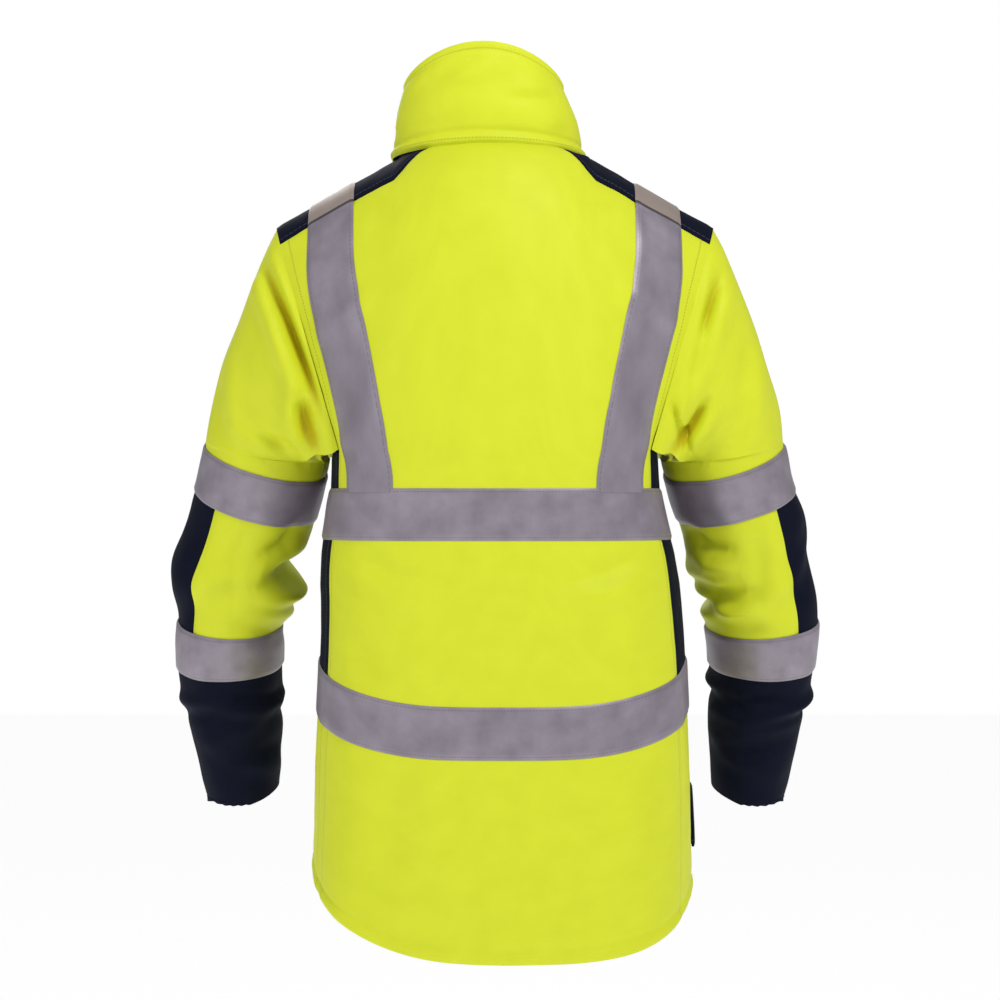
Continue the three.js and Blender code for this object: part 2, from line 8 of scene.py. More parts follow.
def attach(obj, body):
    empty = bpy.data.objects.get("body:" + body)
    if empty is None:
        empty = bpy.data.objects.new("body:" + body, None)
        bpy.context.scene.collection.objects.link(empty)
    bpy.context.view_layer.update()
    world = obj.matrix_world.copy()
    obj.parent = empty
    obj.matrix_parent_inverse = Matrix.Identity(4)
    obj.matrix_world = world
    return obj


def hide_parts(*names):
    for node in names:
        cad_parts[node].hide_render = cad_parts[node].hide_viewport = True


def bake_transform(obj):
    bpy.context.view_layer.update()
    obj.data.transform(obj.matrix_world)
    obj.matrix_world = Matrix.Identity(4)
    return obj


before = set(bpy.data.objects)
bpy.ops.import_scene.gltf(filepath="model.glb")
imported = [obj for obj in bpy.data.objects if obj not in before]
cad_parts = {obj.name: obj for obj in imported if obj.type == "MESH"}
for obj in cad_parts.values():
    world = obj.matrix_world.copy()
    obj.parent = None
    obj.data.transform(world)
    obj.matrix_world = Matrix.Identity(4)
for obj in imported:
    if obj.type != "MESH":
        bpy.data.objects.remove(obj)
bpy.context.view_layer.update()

# The coat's own measures, in metres, as it is cut. Turns are degrees from the middle of the back.
coat = {
    "neckHalfWidth": 0.092,
    "neckBack": 0.060,
    "neckFront": 0.103,
    "neckSideDrop": 0.008,
    "neckFrontDrop": 0.060,
    "shoulderHalfWidth": 0.217,
    "shoulderSlope": 0.56,
    "armpit": -0.300,
    "shoulderRise": 0.220,
    "chestHalfWidth": 0.160,
    "chestBack": 0.140,
    "frontSlope": 0.0703,
    "frontHem": -0.748,
    "tailDrop": 0.042,
    "waistTape": -0.362,
    "hemTapeRise": 0.213,
    "hemTapeDip": 0.036,
    "tapeWidth": 0.050,
    "armTurn": 64.0,
    "neckTurn": 34.0,
    "yokeTurn": 16.0,
    "yokeDepth": 23.0,
    "clothRest": 0.0012,
    "clothThick": 0.0011,
    "tapeRest": 0.0034,
    "tapeThick": 0.0007,
    "frontEdge": 0.016,
    "girthRadius": 0.165,
    "hemSideTurn": 84,
    "hemRiseLeft": 0.044,
    "hemSpreadLeft": 36,
    "hemRiseRight": 0.019,
    "hemSpreadRight": 28,
}
flareDrop = [0, 0.040, 0.070, 0.100, 0.130, 0.216, 0.400, 0.700]
flareWide = [0, 0.002, 0.008, 0.014, 0.017, 0.020, 0.026, 0.027]
flareDeep = [0, -0.003, -0.004, -0.003, -0.001, 0.005, 0.012, 0.013]
shoulderTop = coat["armpit"] + coat["shoulderRise"]


def smooth(value, low, high):
    share = np.clip((value - low) / (high - low), 0, 1)
    return share * share * (3 - 2 * share)


def mix(a, b, share):
    return a + (b - a) * share


def bell(off, width):
    return np.exp(-(off / width) ** 2)


def edgeGap(across, along, wide, tall):
    # how far a spot lies from the nearest edge of a piece this wide and tall
    return np.minimum(np.minimum(across, 1 - across) * wide, np.minimum(along, 1 - along) * tall)


def frontDepth(level):
    return coat["neckFront"] + coat["frontSlope"] * (-coat["neckFrontDrop"] - level)


def bodyPoint(turn, level):
    angle = np.radians(turn)
    drop = coat["armpit"] - level
    wide = coat["chestHalfWidth"] + np.interp(drop, flareDrop, flareWide)
    deep = coat["chestBack"] + np.interp(drop, flareDrop, flareDeep)
    deep = np.where(np.cos(angle) < 0, frontDepth(level), deep)
    across = (np.abs(np.sin(angle)) / wide) ** 3
    along = (np.abs(np.cos(angle)) / deep) ** 3
    reach = (across + along) ** (-1 / 3)
    return np.stack([reach * np.sin(angle), reach * np.cos(angle), level + 0 * turn], -1)


def awayFromMiddle(turn):
    bare = np.abs(turn)
    return np.where(bare > 90, 180 - bare, bare)


def topEdge(turn):
    side = np.where(turn < 0, -1.0, 1.0)
    front = np.abs(turn) > 90
    away = awayFromMiddle(turn)
    angle = np.clip(away / coat["neckTurn"], 0, 1) * math.pi / 2
    depth = np.where(front, -coat["neckFront"], coat["neckBack"])
    middle = np.where(front, -coat["neckFrontDrop"], 0.0)
    neckZ = mix(-coat["neckSideDrop"], middle, np.cos(angle) ** 1.5)
    neckX = coat["neckHalfWidth"] * np.sin(angle)
    share = (away - coat["neckTurn"]) / (coat["armTurn"] - coat["neckTurn"])
    ridgeX = mix(coat["neckHalfWidth"], coat["shoulderHalfWidth"], np.minimum(share, 1.05))
    ridgeZ = -coat["neckSideDrop"] - coat["shoulderSlope"] * (ridgeX - coat["neckHalfWidth"])
    onNeck = away <= coat["neckTurn"]
    x = side * np.where(onNeck, neckX, ridgeX)
    y = np.where(onNeck, depth * np.cos(angle), 0.0)
    return np.stack([x, y, np.where(onNeck, neckZ, ridgeZ)], -1)


def bodySurface(turn, level):
    turn = np.where(turn > 180, turn - 360, np.where(turn < -180, turn + 360, turn))
    low = bodyPoint(turn, np.minimum(level, coat["armpit"]))
    top = topEdge(turn)
    rise = np.clip((level - coat["armpit"]) / coat["shoulderRise"], 0, 1)
    angle = rise * math.pi / 2
    up = np.sin(angle)
    rounded = np.maximum(np.cos(angle), 0) ** 0.8
    front = np.abs(turn) > 90
    roundness = np.where(front, smooth(awayFromMiddle(turn), 10, coat["neckTurn"]), 1.0)
    keep = mix(1 - up, rounded, roundness)
    high = np.stack(
        [mix(low[..., 0], top[..., 0], up), top[..., 1] + (low[..., 1] - top[..., 1]) * keep,
         mix(low[..., 2], top[..., 2], up)], -1)
    return np.where((level > coat["armpit"])[..., None], high, low)


def softSurface(turn, level):
    # the corner where the neck meets the shoulder dies out below the yoke
    near = bodySurface(turn, level)
    wide = bodySurface(turn - 11, level) + bodySurface(turn + 11, level)
    close = bodySurface(turn - 5, level) + bodySurface(turn + 5, level)
    rise = np.clip((level - coat["armpit"]) / coat["shoulderRise"], 0, 1)
    inner = 1 - smooth(awayFromMiddle(turn), 46, 58)
    weight = smooth(rise, 0, 0.3) * (1 - smooth(rise, 0.72, 0.97)) * inner
    return mix(near, 0.2 * near + 0.2 * wide + 0.2 * close, weight[..., None])


def bodyNormal(turn, level):
    high = np.minimum(level + 0.004, shoulderTop - 0.0002)
    low = np.minimum(level - 0.004, shoulderTop - 0.004)
    up = softSurface(turn, high) - softSurface(turn, low)
    side = softSurface(turn + 1.2, level) - softSurface(turn - 1.2, level)
    normal = np.cross(up, side)
    return normal / np.linalg.norm(normal, axis=-1, keepdims=True)


def turnAt(x, level, front):
    low = np.zeros_like(level)
    high = np.full_like(level, 90.0)
    for _ in range(34):
        middle = (low + high) / 2
        found = np.abs(bodySurface(np.where(front, 180 - middle, middle), level)[..., 0])
        inside = found < np.abs(x)
        low = np.where(inside, middle, low)
        high = np.where(inside, high, middle)
    return np.where(front, 180 - low, low)


def tail(turn):
    return smooth(np.cos(np.radians(turn)), 0, 1)


def hemLevel(turn):
    # the side of the hem rides up a little, more on the left
    left = turn > 0
    spread = np.where(left, coat["hemSpreadLeft"], coat["hemSpreadRight"])
    rise = np.where(left, coat["hemRiseLeft"], coat["hemRiseRight"])
    rise = rise * bell(np.abs(turn) - coat["hemSideTurn"], spread)
    return coat["frontHem"] - coat["tailDrop"] * tail(turn) + rise


def hemTapeLevel(turn):
    ends = smooth(np.abs(turn), 25, 85)
    return coat["frontHem"] + coat["hemTapeRise"] - coat["hemTapeDip"] * tail(turn) + 0.009 * ends


def yokeEdge(turn):
    share = np.clip((awayFromMiddle(turn) - coat["yokeTurn"]) / (coat["armTurn"] - coat["yokeTurn"]), 0, 1)
    drop = np.clip(share / 0.35, 0, 1) ** 0.7
    return shoulderTop - coat["yokeDepth"] * drop / 90 * coat["shoulderRise"]


def valueNoise(points, scale, seed):
    # smooth noise between -1 and 1 from a fixed lattice of values
    table = np.random.RandomState(seed).uniform(-1, 1, 4096)
    p = points / np.asarray(scale) + 100.0
    cell = np.floor(p).astype(int)
    part = p - cell
    part = part * part * (3 - 2 * part)
    total = np.zeros(points.shape[:-1])
    for dx in (0, 1):
        for dy in (0, 1):
            for dz in (0, 1):
                key = (cell[..., 0] + dx) * 73 + (cell[..., 1] + dy) * 179 + (cell[..., 2] + dz) * 283
                weight = (part[..., 0] if dx else 1 - part[..., 0])
                weight = weight * (part[..., 1] if dy else 1 - part[..., 1])
                weight = weight * (part[..., 2] if dz else 1 - part[..., 2])
                total += weight * table[key % 4096]
    return total


def ridge(points, start, end, width, height):
    # a soft fold along a line, tapering to nothing at both ends
    a = np.array(start)
    d = np.array(end) - a
    share = np.clip(((points - a) @ d) / (d @ d), 0, 1)
    off = np.linalg.norm(points - (a + share[..., None] * d), axis=-1)
    taper = np.sqrt(np.clip(np.sin(math.pi * np.clip(share, 0.02, 0.98)), 0, 1))
    return height * taper * bell(off, width)


def crease(points, path, width, height):
    # a fold along a line drawn on the back, each point (x, z) in millimetres, dying out at both ends
    spots = np.array(path) / 1000
    flat = points[..., [0, 2]]
    lengths = np.linalg.norm(np.diff(spots, axis=0), axis=1)
    total = lengths.sum()
    best = np.full(flat.shape[:-1], 9.0)
    place = np.zeros(flat.shape[:-1])
    gone = 0.0
    for a, b, length in zip(spots[:-1], spots[1:], lengths):
        share = np.clip(((flat - a) @ (b - a)) / length ** 2, 0, 1)
        off = np.linalg.norm(flat - (a + share[..., None] * (b - a)), axis=-1)
        closer = off < best
        best = np.where(closer, off, best)
        place = np.where(closer, (gone + share * length) / total, place)
        gone += length
    taper = np.clip(np.sin(math.pi * np.clip(place, 0.03, 0.97)), 0, 1) ** 0.5
    return height * taper * bell(best, width / 1000)


armCreases = {
    1: [
        # line, width and height in millimetres
        ([(231, -112), (206, -165), (184, -222), (170, -262)], 6, -0.0190),
        ([(243, -122), (219, -178), (198, -236), (190, -270)], 9, 0.0100),
        ([(219, -112), (196, -170), (178, -215)], 7, 0.0050),
        ([(190, -248), (186, -272), (176, -300)], 8, -0.0200),
        ([(206, -240), (203, -275), (190, -308)], 8, 0.0075),
        ([(236, -284), (214, -290), (196, -296)], 5, -0.0050),
        ([(256, -276), (224, -300), (196, -312)], 8, 0.0045),
        ([(262, -190), (262, -250), (254, -300)], 10, 0.0030),
        ([(278, -200), (276, -260), (270, -300)], 9, -0.0022),
    ],
    -1: [
        ([(-198, -92), (-195, -118), (-190, -150)], 5, -0.0060),
        ([(-206, -96), (-204, -125), (-199, -160)], 7, 0.0045),
        ([(-222, -126), (-212, -156), (-204, -184)], 5, -0.0120),
        ([(-233, -138), (-222, -176), (-212, -210)], 9, 0.0060),
        ([(-206, -180), (-196, -220), (-190, -262)], 6, -0.0050),
        ([(-208, -252), (-190, -282), (-172, -304)], 5, -0.0180),
        ([(-218, -262), (-200, -292), (-182, -312)], 8, 0.0075),
        ([(-172, -256), (-182, -282), (-196, -304)], 5, -0.0120),
        ([(-200, -225), (-186, -252), (-174, -282)], 8, 0.0070),
        ([(-252, -178), (-246, -230), (-236, -296)], 10, -0.0030),
        ([(-264, -200), (-260, -250), (-250, -300)], 10, 0.0035),
    ],
}
elbowCreases = {
    1: [
        ([(198, -372), (213, -392), (232, -402)], 6, -0.0075),
        ([(186, -386), (206, -408), (236, -422)], 7, 0.0050),
        ([(190, -424), (214, -434), (244, -436)], 6, -0.0060),
        ([(194, -446), (222, -452), (256, -446)], 7, 0.0040),
        ([(250, -380), (262, -410), (264, -446)], 9, -0.0030),
        ([(212, -540), (236, -552), (270, -552)], 6, -0.0050),
        ([(214, -556), (244, -568), (282, -562)], 8, 0.0045),
        ([(222, -596), (250, -612), (276, -618)], 8, -0.0035),
    ],
    -1: [
        ([(-192, -374), (-210, -392), (-236, -398)], 6, -0.0075),
        ([(-196, -396), (-216, -414), (-246, -420)], 7, 0.0055),
        ([(-200, -424), (-224, -440), (-256, -440)], 6, -0.0065),
        ([(-212, -452), (-240, -462), (-272, -456)], 7, 0.0045),
        ([(-262, -384), (-268, -412), (-266, -448)], 9, -0.0030),
        ([(-222, -540), (-250, -556), (-296, -552)], 6, -0.0070),
        ([(-226, -562), (-256, -574), (-300, -568)], 8, 0.0055),
        ([(-226, -600), (-256, -610), (-290, -600)], 8, -0.0040),
    ],
}


backCreases = [
    ([(-6, -60), (-12, -150), (-4, -240)], 20, 0.0024),
    ([(40, -120), (52, -200), (46, -300)], 18, -0.0022),
    ([(-52, -110), (-60, -200), (-40, -300)], 18, -0.0022),
    ([(140, -398), (100, -420), (40, -432)], 10, -0.0040),
    ([(150, -418), (100, -446), (50, -452)], 14, 0.0030),
    ([(-146, -396), (-104, -418), (-50, -430)], 10, -0.0040),
    ([(-150, -414), (-104, -440), (-60, -448)], 14, 0.0030),
    ([(146, -470), (120, -530)], 13, -0.0026),
    ([(-150, -470), (-128, -530)], 13, -0.0026),
    ([(62, -600), (70, -720)], 20, 0.0034),
    ([(104, -590), (112, -720)], 16, -0.0032),
    ([(-58, -600), (-72, -740)], 20, -0.0034),
    ([(-104, -600), (-112, -730)], 18, 0.0034),
    ([(8, -630), (4, -740)], 24, -0.0026),
]


def drawnCreases(points, sign, behind, table):
    total = np.zeros(points.shape[:-1])
    for path, width, height in table[sign]:
        total = total + crease(points, path, width, height)
    return total * behind


backFolds = [
    # start, end, width, height
    ((0.150, 0.085, -0.300), (0.085, 0.125, -0.240), 0.011, 0.0035),
    ((-0.150, 0.085, -0.300), (-0.080, 0.125, -0.225), 0.012, 0.0040),
    ((0.172, 0.080, -0.190), (0.120, 0.110, -0.150), 0.012, 0.0030),
    ((-0.178, 0.075, -0.180), (-0.120, 0.110, -0.135), 0.013, 0.0034),
    ((0.060, 0.135, -0.420), (0.150, 0.100, -0.470), 0.016, 0.0030),
    ((-0.050, 0.135, -0.415), (-0.150, 0.100, -0.455), 0.016, 0.0030),
    ((0.120, 0.120, -0.620), (0.085, 0.140, -0.760), 0.020, 0.0035),
    ((-0.110, 0.125, -0.600), (-0.130, 0.120, -0.740), 0.020, 0.0035),
    ((0.010, 0.150, -0.610), (0.020, 0.152, -0.700), 0.026, 0.0022),
    ((0.045, 0.060, -0.016), (-0.045, 0.060, -0.016), 0.007, 0.0020),
    ((0.000, 0.090, -0.060), (0.090, 0.080, -0.085), 0.014, 0.0016),
    ((0.000, 0.090, -0.060), (-0.090, 0.080, -0.080), 0.014, 0.0016),
    ((0.130, -0.085, -0.260), (0.060, -0.110, -0.200), 0.014, 0.0035),
    ((-0.130, -0.085, -0.260), (-0.060, -0.110, -0.210), 0.014, 0.0035),
    ((0.080, -0.125, -0.430), (0.160, -0.080, -0.480), 0.016, 0.0030),
    ((-0.080, -0.125, -0.420), (-0.160, -0.080, -0.470), 0.016, 0.0030),
]


def bodyFold(points):
    out = 0.0024 * valueNoise(points, (0.085, 0.085, 0.21), 3)
    out = out + 0.0009 * valueNoise(points, (0.030, 0.030, 0.060), 11)
    out = out + 0.0003 * valueNoise(points, (0.011, 0.011, 0.016), 19)
    for start, end, width, height in backFolds:
        out = out + ridge(points, start, end, width, height)
    behind = smooth(points[..., 1], 0.02, 0.06)
    for path, width, height in backCreases:
        out = out + behind * crease(points, path, width, height)
    low = smooth(-points[..., 2], 0.60, 0.80)
    around = np.arctan2(points[..., 0], points[..., 1])
    out = out + low * 0.0022 * np.sin(around * 7 + 0.7)
    return out


def lean(points):
    # the lower body hangs a few millimetres to the wearer's right
    points[..., 0] -= 0.0075 * smooth(-points[..., 2], 0.33, 0.50)
    return points


def onBody(turn, level, rest, share=1.0):
    turn, level = np.broadcast_arrays(np.asarray(turn, float), np.asarray(level, float))
    point = softSurface(turn, level)
    normal = bodyNormal(turn, level)
    return lean(point + normal * (rest + share * bodyFold(point))[..., None])


sleeve = {
    "top": -0.298,
    "end": -0.655,
    "out": [0.070, 0.090, 0.110, 0.115, 0.109, 0.104],
    "forward": [-0.048, -0.069, -0.089, -0.109, -0.129, -0.150],
    "halfWidth": [0.062, 0.060, 0.058, 0.053, 0.046, 0.037],
    "halfDepth": [0.064, 0.061, 0.058, 0.052, 0.046, 0.042],
    "bandEnd": -0.358,
    "upperTape": (-0.306, -0.3525),
    "forearmTop": -0.466,
    "forearmTape": (-0.474, -0.519),
    "backSeam": 52.0,
    "frontSeam": -60.0,
    "headShare": 0.80,
    "cuffSlant": 0.008,
    "cuffTop": -0.598,
}


def splineAt(values, share):
    # the same even Catmull-Rom curve that the sleeves are cut on
    v = np.array(values)
    v = np.concatenate([[2 * v[0] - v[1]], v, [2 * v[-1] - v[-2]]])
    spot = np.clip(share, 0, 1) * (len(values) - 1)
    i = np.minimum(spot.astype(int), len(values) - 2)
    t = spot - i
    a, b, c, d = v[i], v[i + 1], v[i + 2], v[i + 3]
    curve = 2 * b + (c - a) * t + (2 * a - 5 * b + 4 * c - d) * t ** 2
    return 0.5 * (curve + (3 * b - a - 3 * c + d) * t ** 3)


def sleeveMiddle(level):
    share = (level - sleeve["top"]) / (sleeve["end"] - sleeve["top"])
    x = coat["chestHalfWidth"] + splineAt(sleeve["out"], share)
    return np.stack([x, splineAt(sleeve["forward"], share), level], -1)


def sleeveFrame(level):
    axis = sleeveMiddle(level - 0.002) - sleeveMiddle(level + 0.002)
    axis = axis / np.linalg.norm(axis, axis=-1, keepdims=True)
    outward = np.array([1.0, 0, 0]) - axis * axis[..., :1]
    outward = outward / np.linalg.norm(outward, axis=-1, keepdims=True)
    return axis, outward, np.cross(outward, axis)


# side, middle theta, level, reach in degrees, slant in metres, width, height
sleeveFolds = [
    (1, 176, -0.396, 62, 0.006, 0.015, -0.0210),
    (1, 160, -0.422, 70, -0.010, 0.010, 0.0050),
    (1, 170, -0.452, 75, -0.012, 0.014, 0.0080),
    (1, 2, -0.426, 75, 0.006, 0.026, 0.0085),
    (1, 60, -0.425, 60, 0.030, 0.012, 0.0032),
    (1, 30, -0.545, 75, 0.008, 0.008, 0.0040),
    (1, 150, -0.552, 70, -0.006, 0.008, 0.0044),
    (1, 90, -0.575, 60, 0.016, 0.011, 0.0030),
    (1, 120, -0.610, 70, -0.018, 0.012, 0.0030),
    (-1, 2, -0.380, 70, 0.004, 0.024, 0.0060),
    (-1, 172, -0.402, 65, 0.010, 0.012, 0.0060),
    (-1, 160, -0.436, 75, -0.010, 0.010, -0.0070),
    (-1, 140, -0.436, 75, 0.026, 0.009, 0.0045),
    (-1, 205, -0.425, 80, 0.006, 0.008, 0.0050),
    (-1, 50, -0.420, 60, -0.026, 0.012, 0.0032),
    (-1, 20, -0.546, 70, -0.006, 0.007, 0.0062),
    (-1, 155, -0.540, 75, 0.008, 0.008, 0.0055),
    (-1, 80, -0.570, 60, -0.012, 0.011, 0.0034),
    (-1, 110, -0.605, 70, 0.020, 0.012, 0.0030),
]


def sleeveFold(theta, level, points, sign):
    out = 0.0018 * valueNoise(points * [sign, 1, 1] + 3 * sign, (0.045, 0.045, 0.070), 29)
    out = out + 0.0009 * valueNoise(points + sign, (0.020, 0.020, 0.026), 37)
    for side, middle, height, reach, slant, width, amount in sleeveFolds:
        if side != sign:
            continue
        off = (theta - middle + 180) % 360 - 180
        line = height + slant * off / reach
        taper = np.clip(1 - (off / reach) ** 2, 0, 1)
        out = out + amount * taper * bell(level - line, width)
        out = out - 0.6 * amount * taper * bell(level - line + 1.6 * width, width)
    behind = smooth(np.sin(np.radians(theta)), -0.1, 0.35)
    away = smooth(-level, 0.300, 0.372)
    return out + drawnCreases(points * [sign, 1, 1], sign, behind, elbowCreases) * away


def onSleeve(theta, level, rest, sign, folded=1.0):
    theta, level = np.broadcast_arrays(np.asarray(theta, float), np.asarray(level, float))
    share = (level - sleeve["top"]) / (sleeve["end"] - sleeve["top"])
    middle = sleeveMiddle(level)
    _, outward, backward = sleeveFrame(level)
    wide = splineAt(sleeve["halfWidth"], share)
    deep = splineAt(sleeve["halfDepth"], share)
    angle = np.radians(theta)
    flat = middle + outward * (wide * np.cos(angle))[..., None] + backward * (deep * np.sin(angle))[..., None]
    lift = rest + folded * sleeveFold(theta, level, flat, sign)
    reachX = ((wide + lift) * np.cos(angle))[..., None]
    reachY = ((deep + lift) * np.sin(angle))[..., None]
    spot = middle + outward * reachX + backward * reachY
    return spot * np.array([sign, 1, 1])


def armhole(theta):
    theta = np.asarray(theta, float) % 360
    front = theta > 180
    bare = np.where(front, 360 - theta, theta)
    start = 124.0
    share = np.clip((bare - start) / (180 - start), 0, 1)
    turn = mix(coat["armTurn"], 90.0, share)
    fall = shoulderTop - bare / start * (coat["shoulderRise"] - 0.001)
    level = np.where(bare <= start, fall, coat["armpit"] + 0.001)
    turn = np.where(front, 180 - turn, turn)
    return softSurface(turn, level), bodyNormal(turn, np.minimum(level, shoulderTop - 0.001))


headFolds = [
    # theta at the armhole, theta at the tape, width in degrees, from, to along the head, height
    (150, 165, 8, 0.10, 0.95, 0.0060),
    (300, 280, 10, 0.05, 0.95, 0.0060),
    (270, 250, 9, 0.05, 1.00, -0.0080),
    (235, 225, 9, 0.05, 1.00, 0.0060),
]


def onSleeveHead(theta, along, rest, sign):
    # one piece of cloth from the armhole (along 0) to the top of the upper tape's band (along 1)
    theta, along = np.broadcast_arrays(np.asarray(theta, float), np.asarray(along, float))
    start, startNormal = armhole(theta)
    start = start + startNormal * 0.0008
    level = np.full_like(theta, sleeve["top"])
    end = onSleeve(theta, level, 0.0, 1, 0.0)
    over = np.cos(np.radians(theta) / 2) ** 2
    reach = np.linalg.norm(end - start, axis=-1) * 0.42
    leaving = np.stack([mix(0.8, 0.40, over), -0.25 * (1 - over), mix(-0.05, -0.90, over)], -1)
    leaving = leaving / np.linalg.norm(leaving, axis=-1, keepdims=True)
    axis, _, _ = sleeveFrame(level)
    b1 = start + leaving * reach[..., None]
    b2 = end - axis * (reach * mix(0.1, 0.75, over))[..., None]
    t = along[..., None]
    spot = (1 - t) ** 3 * start + 3 * (1 - t) ** 2 * t * b1 + 3 * (1 - t) * t * t * b2 + t ** 3 * end
    middle = mix(start.mean(axis=0, keepdims=True), end.mean(axis=0, keepdims=True), t)
    away = spot - middle
    away = away / np.linalg.norm(away, axis=-1, keepdims=True)
    lift = rest + 0.0020 * smooth(along, 0, 0.1) * valueNoise(spot + sign, (0.045, 0.045, 0.06), 41)
    puff = np.sin(math.pi * np.clip(along, 0, 1)) * mix(0.003, 0.0, over)
    for at, toward, width, low, high, height in headFolds:
        off = (theta - mix(at, toward, along) + 180) % 360 - 180
        shape = np.sin(math.pi * np.clip((along - low) / (high - low), 0, 1)) ** 0.7
        lift = lift + height * shape * bell(off, width)
    atBand = sleeveFold(theta, level, end, sign)
    behind = smooth(np.sin(np.radians(theta)), 0.12, 0.5)
    behind = behind * smooth(along, 0, 0.06) * (1 - smooth(along, 0.90, 1.0))
    drawn = drawnCreases(spot * [sign, 1, 1], sign, behind, armCreases)
    lift = lift + puff + atBand * smooth(along, 0.7, 1.0) + drawn
    return (spot + away * lift[..., None]) * np.array([sign, 1, 1])


def deselectAll():
    for o in bpy.context.selected_objects:
        o.select_set(False)


def clothPiece(name, columns, rows, place, thickness, closed=False, outSign=1, sizeUV=(1, 1),
               marks=None):
    # a grid added as a primitive, laid on the coat, then given its thickness
    deselectAll()
    bpy.ops.mesh.primitive_grid_add(x_subdivisions=columns, y_subdivisions=rows, size=1, calc_uvs=True)
    piece = bpy.context.object
    piece.name = name
    piece.data.name = name
    mesh = piece.data
    count = len(mesh.vertices)
    flat = np.empty(count * 3)
    mesh.vertices.foreach_get("co", flat)
    flat = flat.reshape(-1, 3)
    across = flat[:, 0] + 0.5
    along = flat[:, 1] + 0.5
    spots = place(across, along)
    mesh.vertices.foreach_set("co", np.ascontiguousarray(spots, float).ravel())
    layer = mesh.uv_layers[0]
    layer.name = "cloth"
    loops = len(mesh.loops)
    uv = np.empty(loops * 2)
    layer.data.foreach_get("uv", uv)
    uv = uv.reshape(-1, 2) * np.array(sizeUV)
    layer.data.foreach_set("uv", uv.ravel())
    if marks is not None:
        label, valueOf = marks
        attribute = mesh.attributes.new(label, "FLOAT", "POINT")
        attribute.data.foreach_set("value", valueOf(across, along).astype(np.float32))
    if closed:
        bm = bmesh.new()
        bm.from_mesh(mesh)
        bmesh.ops.remove_doubles(bm, verts=bm.verts, dist=0.00002)
        bm.to_mesh(mesh)
        bm.free()
    mesh.update()
    if outSign < 0:
        mesh.flip_normals()
    if thickness:
        wall = piece.modifiers.new("wall", "SOLIDIFY")
        wall.thickness = thickness
        wall.offset = -1
        wall.use_even_offset = False
        bpy.ops.object.modifier_apply(modifier="wall")
    bpy.ops.object.shade_smooth_by_angle(angle=math.radians(50))
    return piece


def newGroup(name, inputs, outputs):
    group = bpy.data.node_groups.new(name, "ShaderNodeTree")
    for label, kind, value in inputs:
        socket = group.interface.new_socket(label, in_out="INPUT", socket_type=kind)
        socket.default_value = value
    for label, kind in outputs:
        group.interface.new_socket(label, in_out="OUTPUT", socket_type=kind)
    return group, group.nodes.new("NodeGroupInput"), group.nodes.new("NodeGroupOutput")


def mathNode(tree, operation, a, b=None, c=None):
    node = tree.nodes.new("ShaderNodeMath")
    node.operation = operation
    for i, value in enumerate((a, b, c)):
        if value is None:
            continue
        if isinstance(value, (int, float)):
            node.inputs[i].default_value = value
        else:
            tree.links.new(value, node.inputs[i])
    return node.outputs[0]


def mixColour(tree, factor, a, b):
    # each of the three is a socket, or for a and b a plain colour
    node = tree.nodes.new("ShaderNodeMix")
    node.data_type = "RGBA"
    for label, value in (("Factor", factor), ("A", a), ("B", b)):
        if isinstance(value, tuple):
            node.inputs[label].default_value = (*value, 1)
        else:
            tree.links.new(value, node.inputs[label])
    return node.outputs["Result"]


def addBump(tree, shader, height, strength, distance):
    bump = tree.nodes.new("ShaderNodeBump")
    bump.inputs["Strength"].default_value = strength
    bump.inputs["Distance"].default_value = distance
    tree.links.new(height, bump.inputs["Height"])
    tree.links.new(bump.outputs[0], shader.inputs["Normal"])


def makeTwillGroup():
    # diagonal twill ribs crossed by fine threads, from the cloth's own UV in metres
    group, start, end = newGroup(
        "twillWeave", [("Threads", "NodeSocketFloat", 900.0), ("Vector", "NodeSocketVector", (0, 0, 0))],
        [("Height", "NodeSocketFloat"), ("MottleAndSheen", "NodeSocketFloat")])
    split = group.nodes.new("ShaderNodeSeparateXYZ")
    group.links.new(start.outputs["Vector"], split.inputs[0])
    slope = mathNode(group, "ADD", split.outputs[0], split.outputs[1])
    ribs = mathNode(group, "SINE", mathNode(group, "MULTIPLY", slope, start.outputs["Threads"]))
    weft = mathNode(group, "MULTIPLY", split.outputs[0], start.outputs["Threads"])
    threads = mathNode(group, "SINE", mathNode(group, "MULTIPLY", weft, 2.3))
    fine = mathNode(group, "MULTIPLY", threads, 0.25)
    coarse = mathNode(group, "MULTIPLY", ribs, 0.6)
    group.links.new(mathNode(group, "ADD", coarse, fine), end.inputs["Height"])
    noise = group.nodes.new("ShaderNodeTexNoise")
    noise.inputs["Scale"].default_value = 38.0
    noise.inputs["Detail"].default_value = 4.0
    group.links.new(start.outputs["Vector"], noise.inputs["Vector"])
    group.links.new(noise.outputs["Fac"], end.inputs["MottleAndSheen"])
    return group


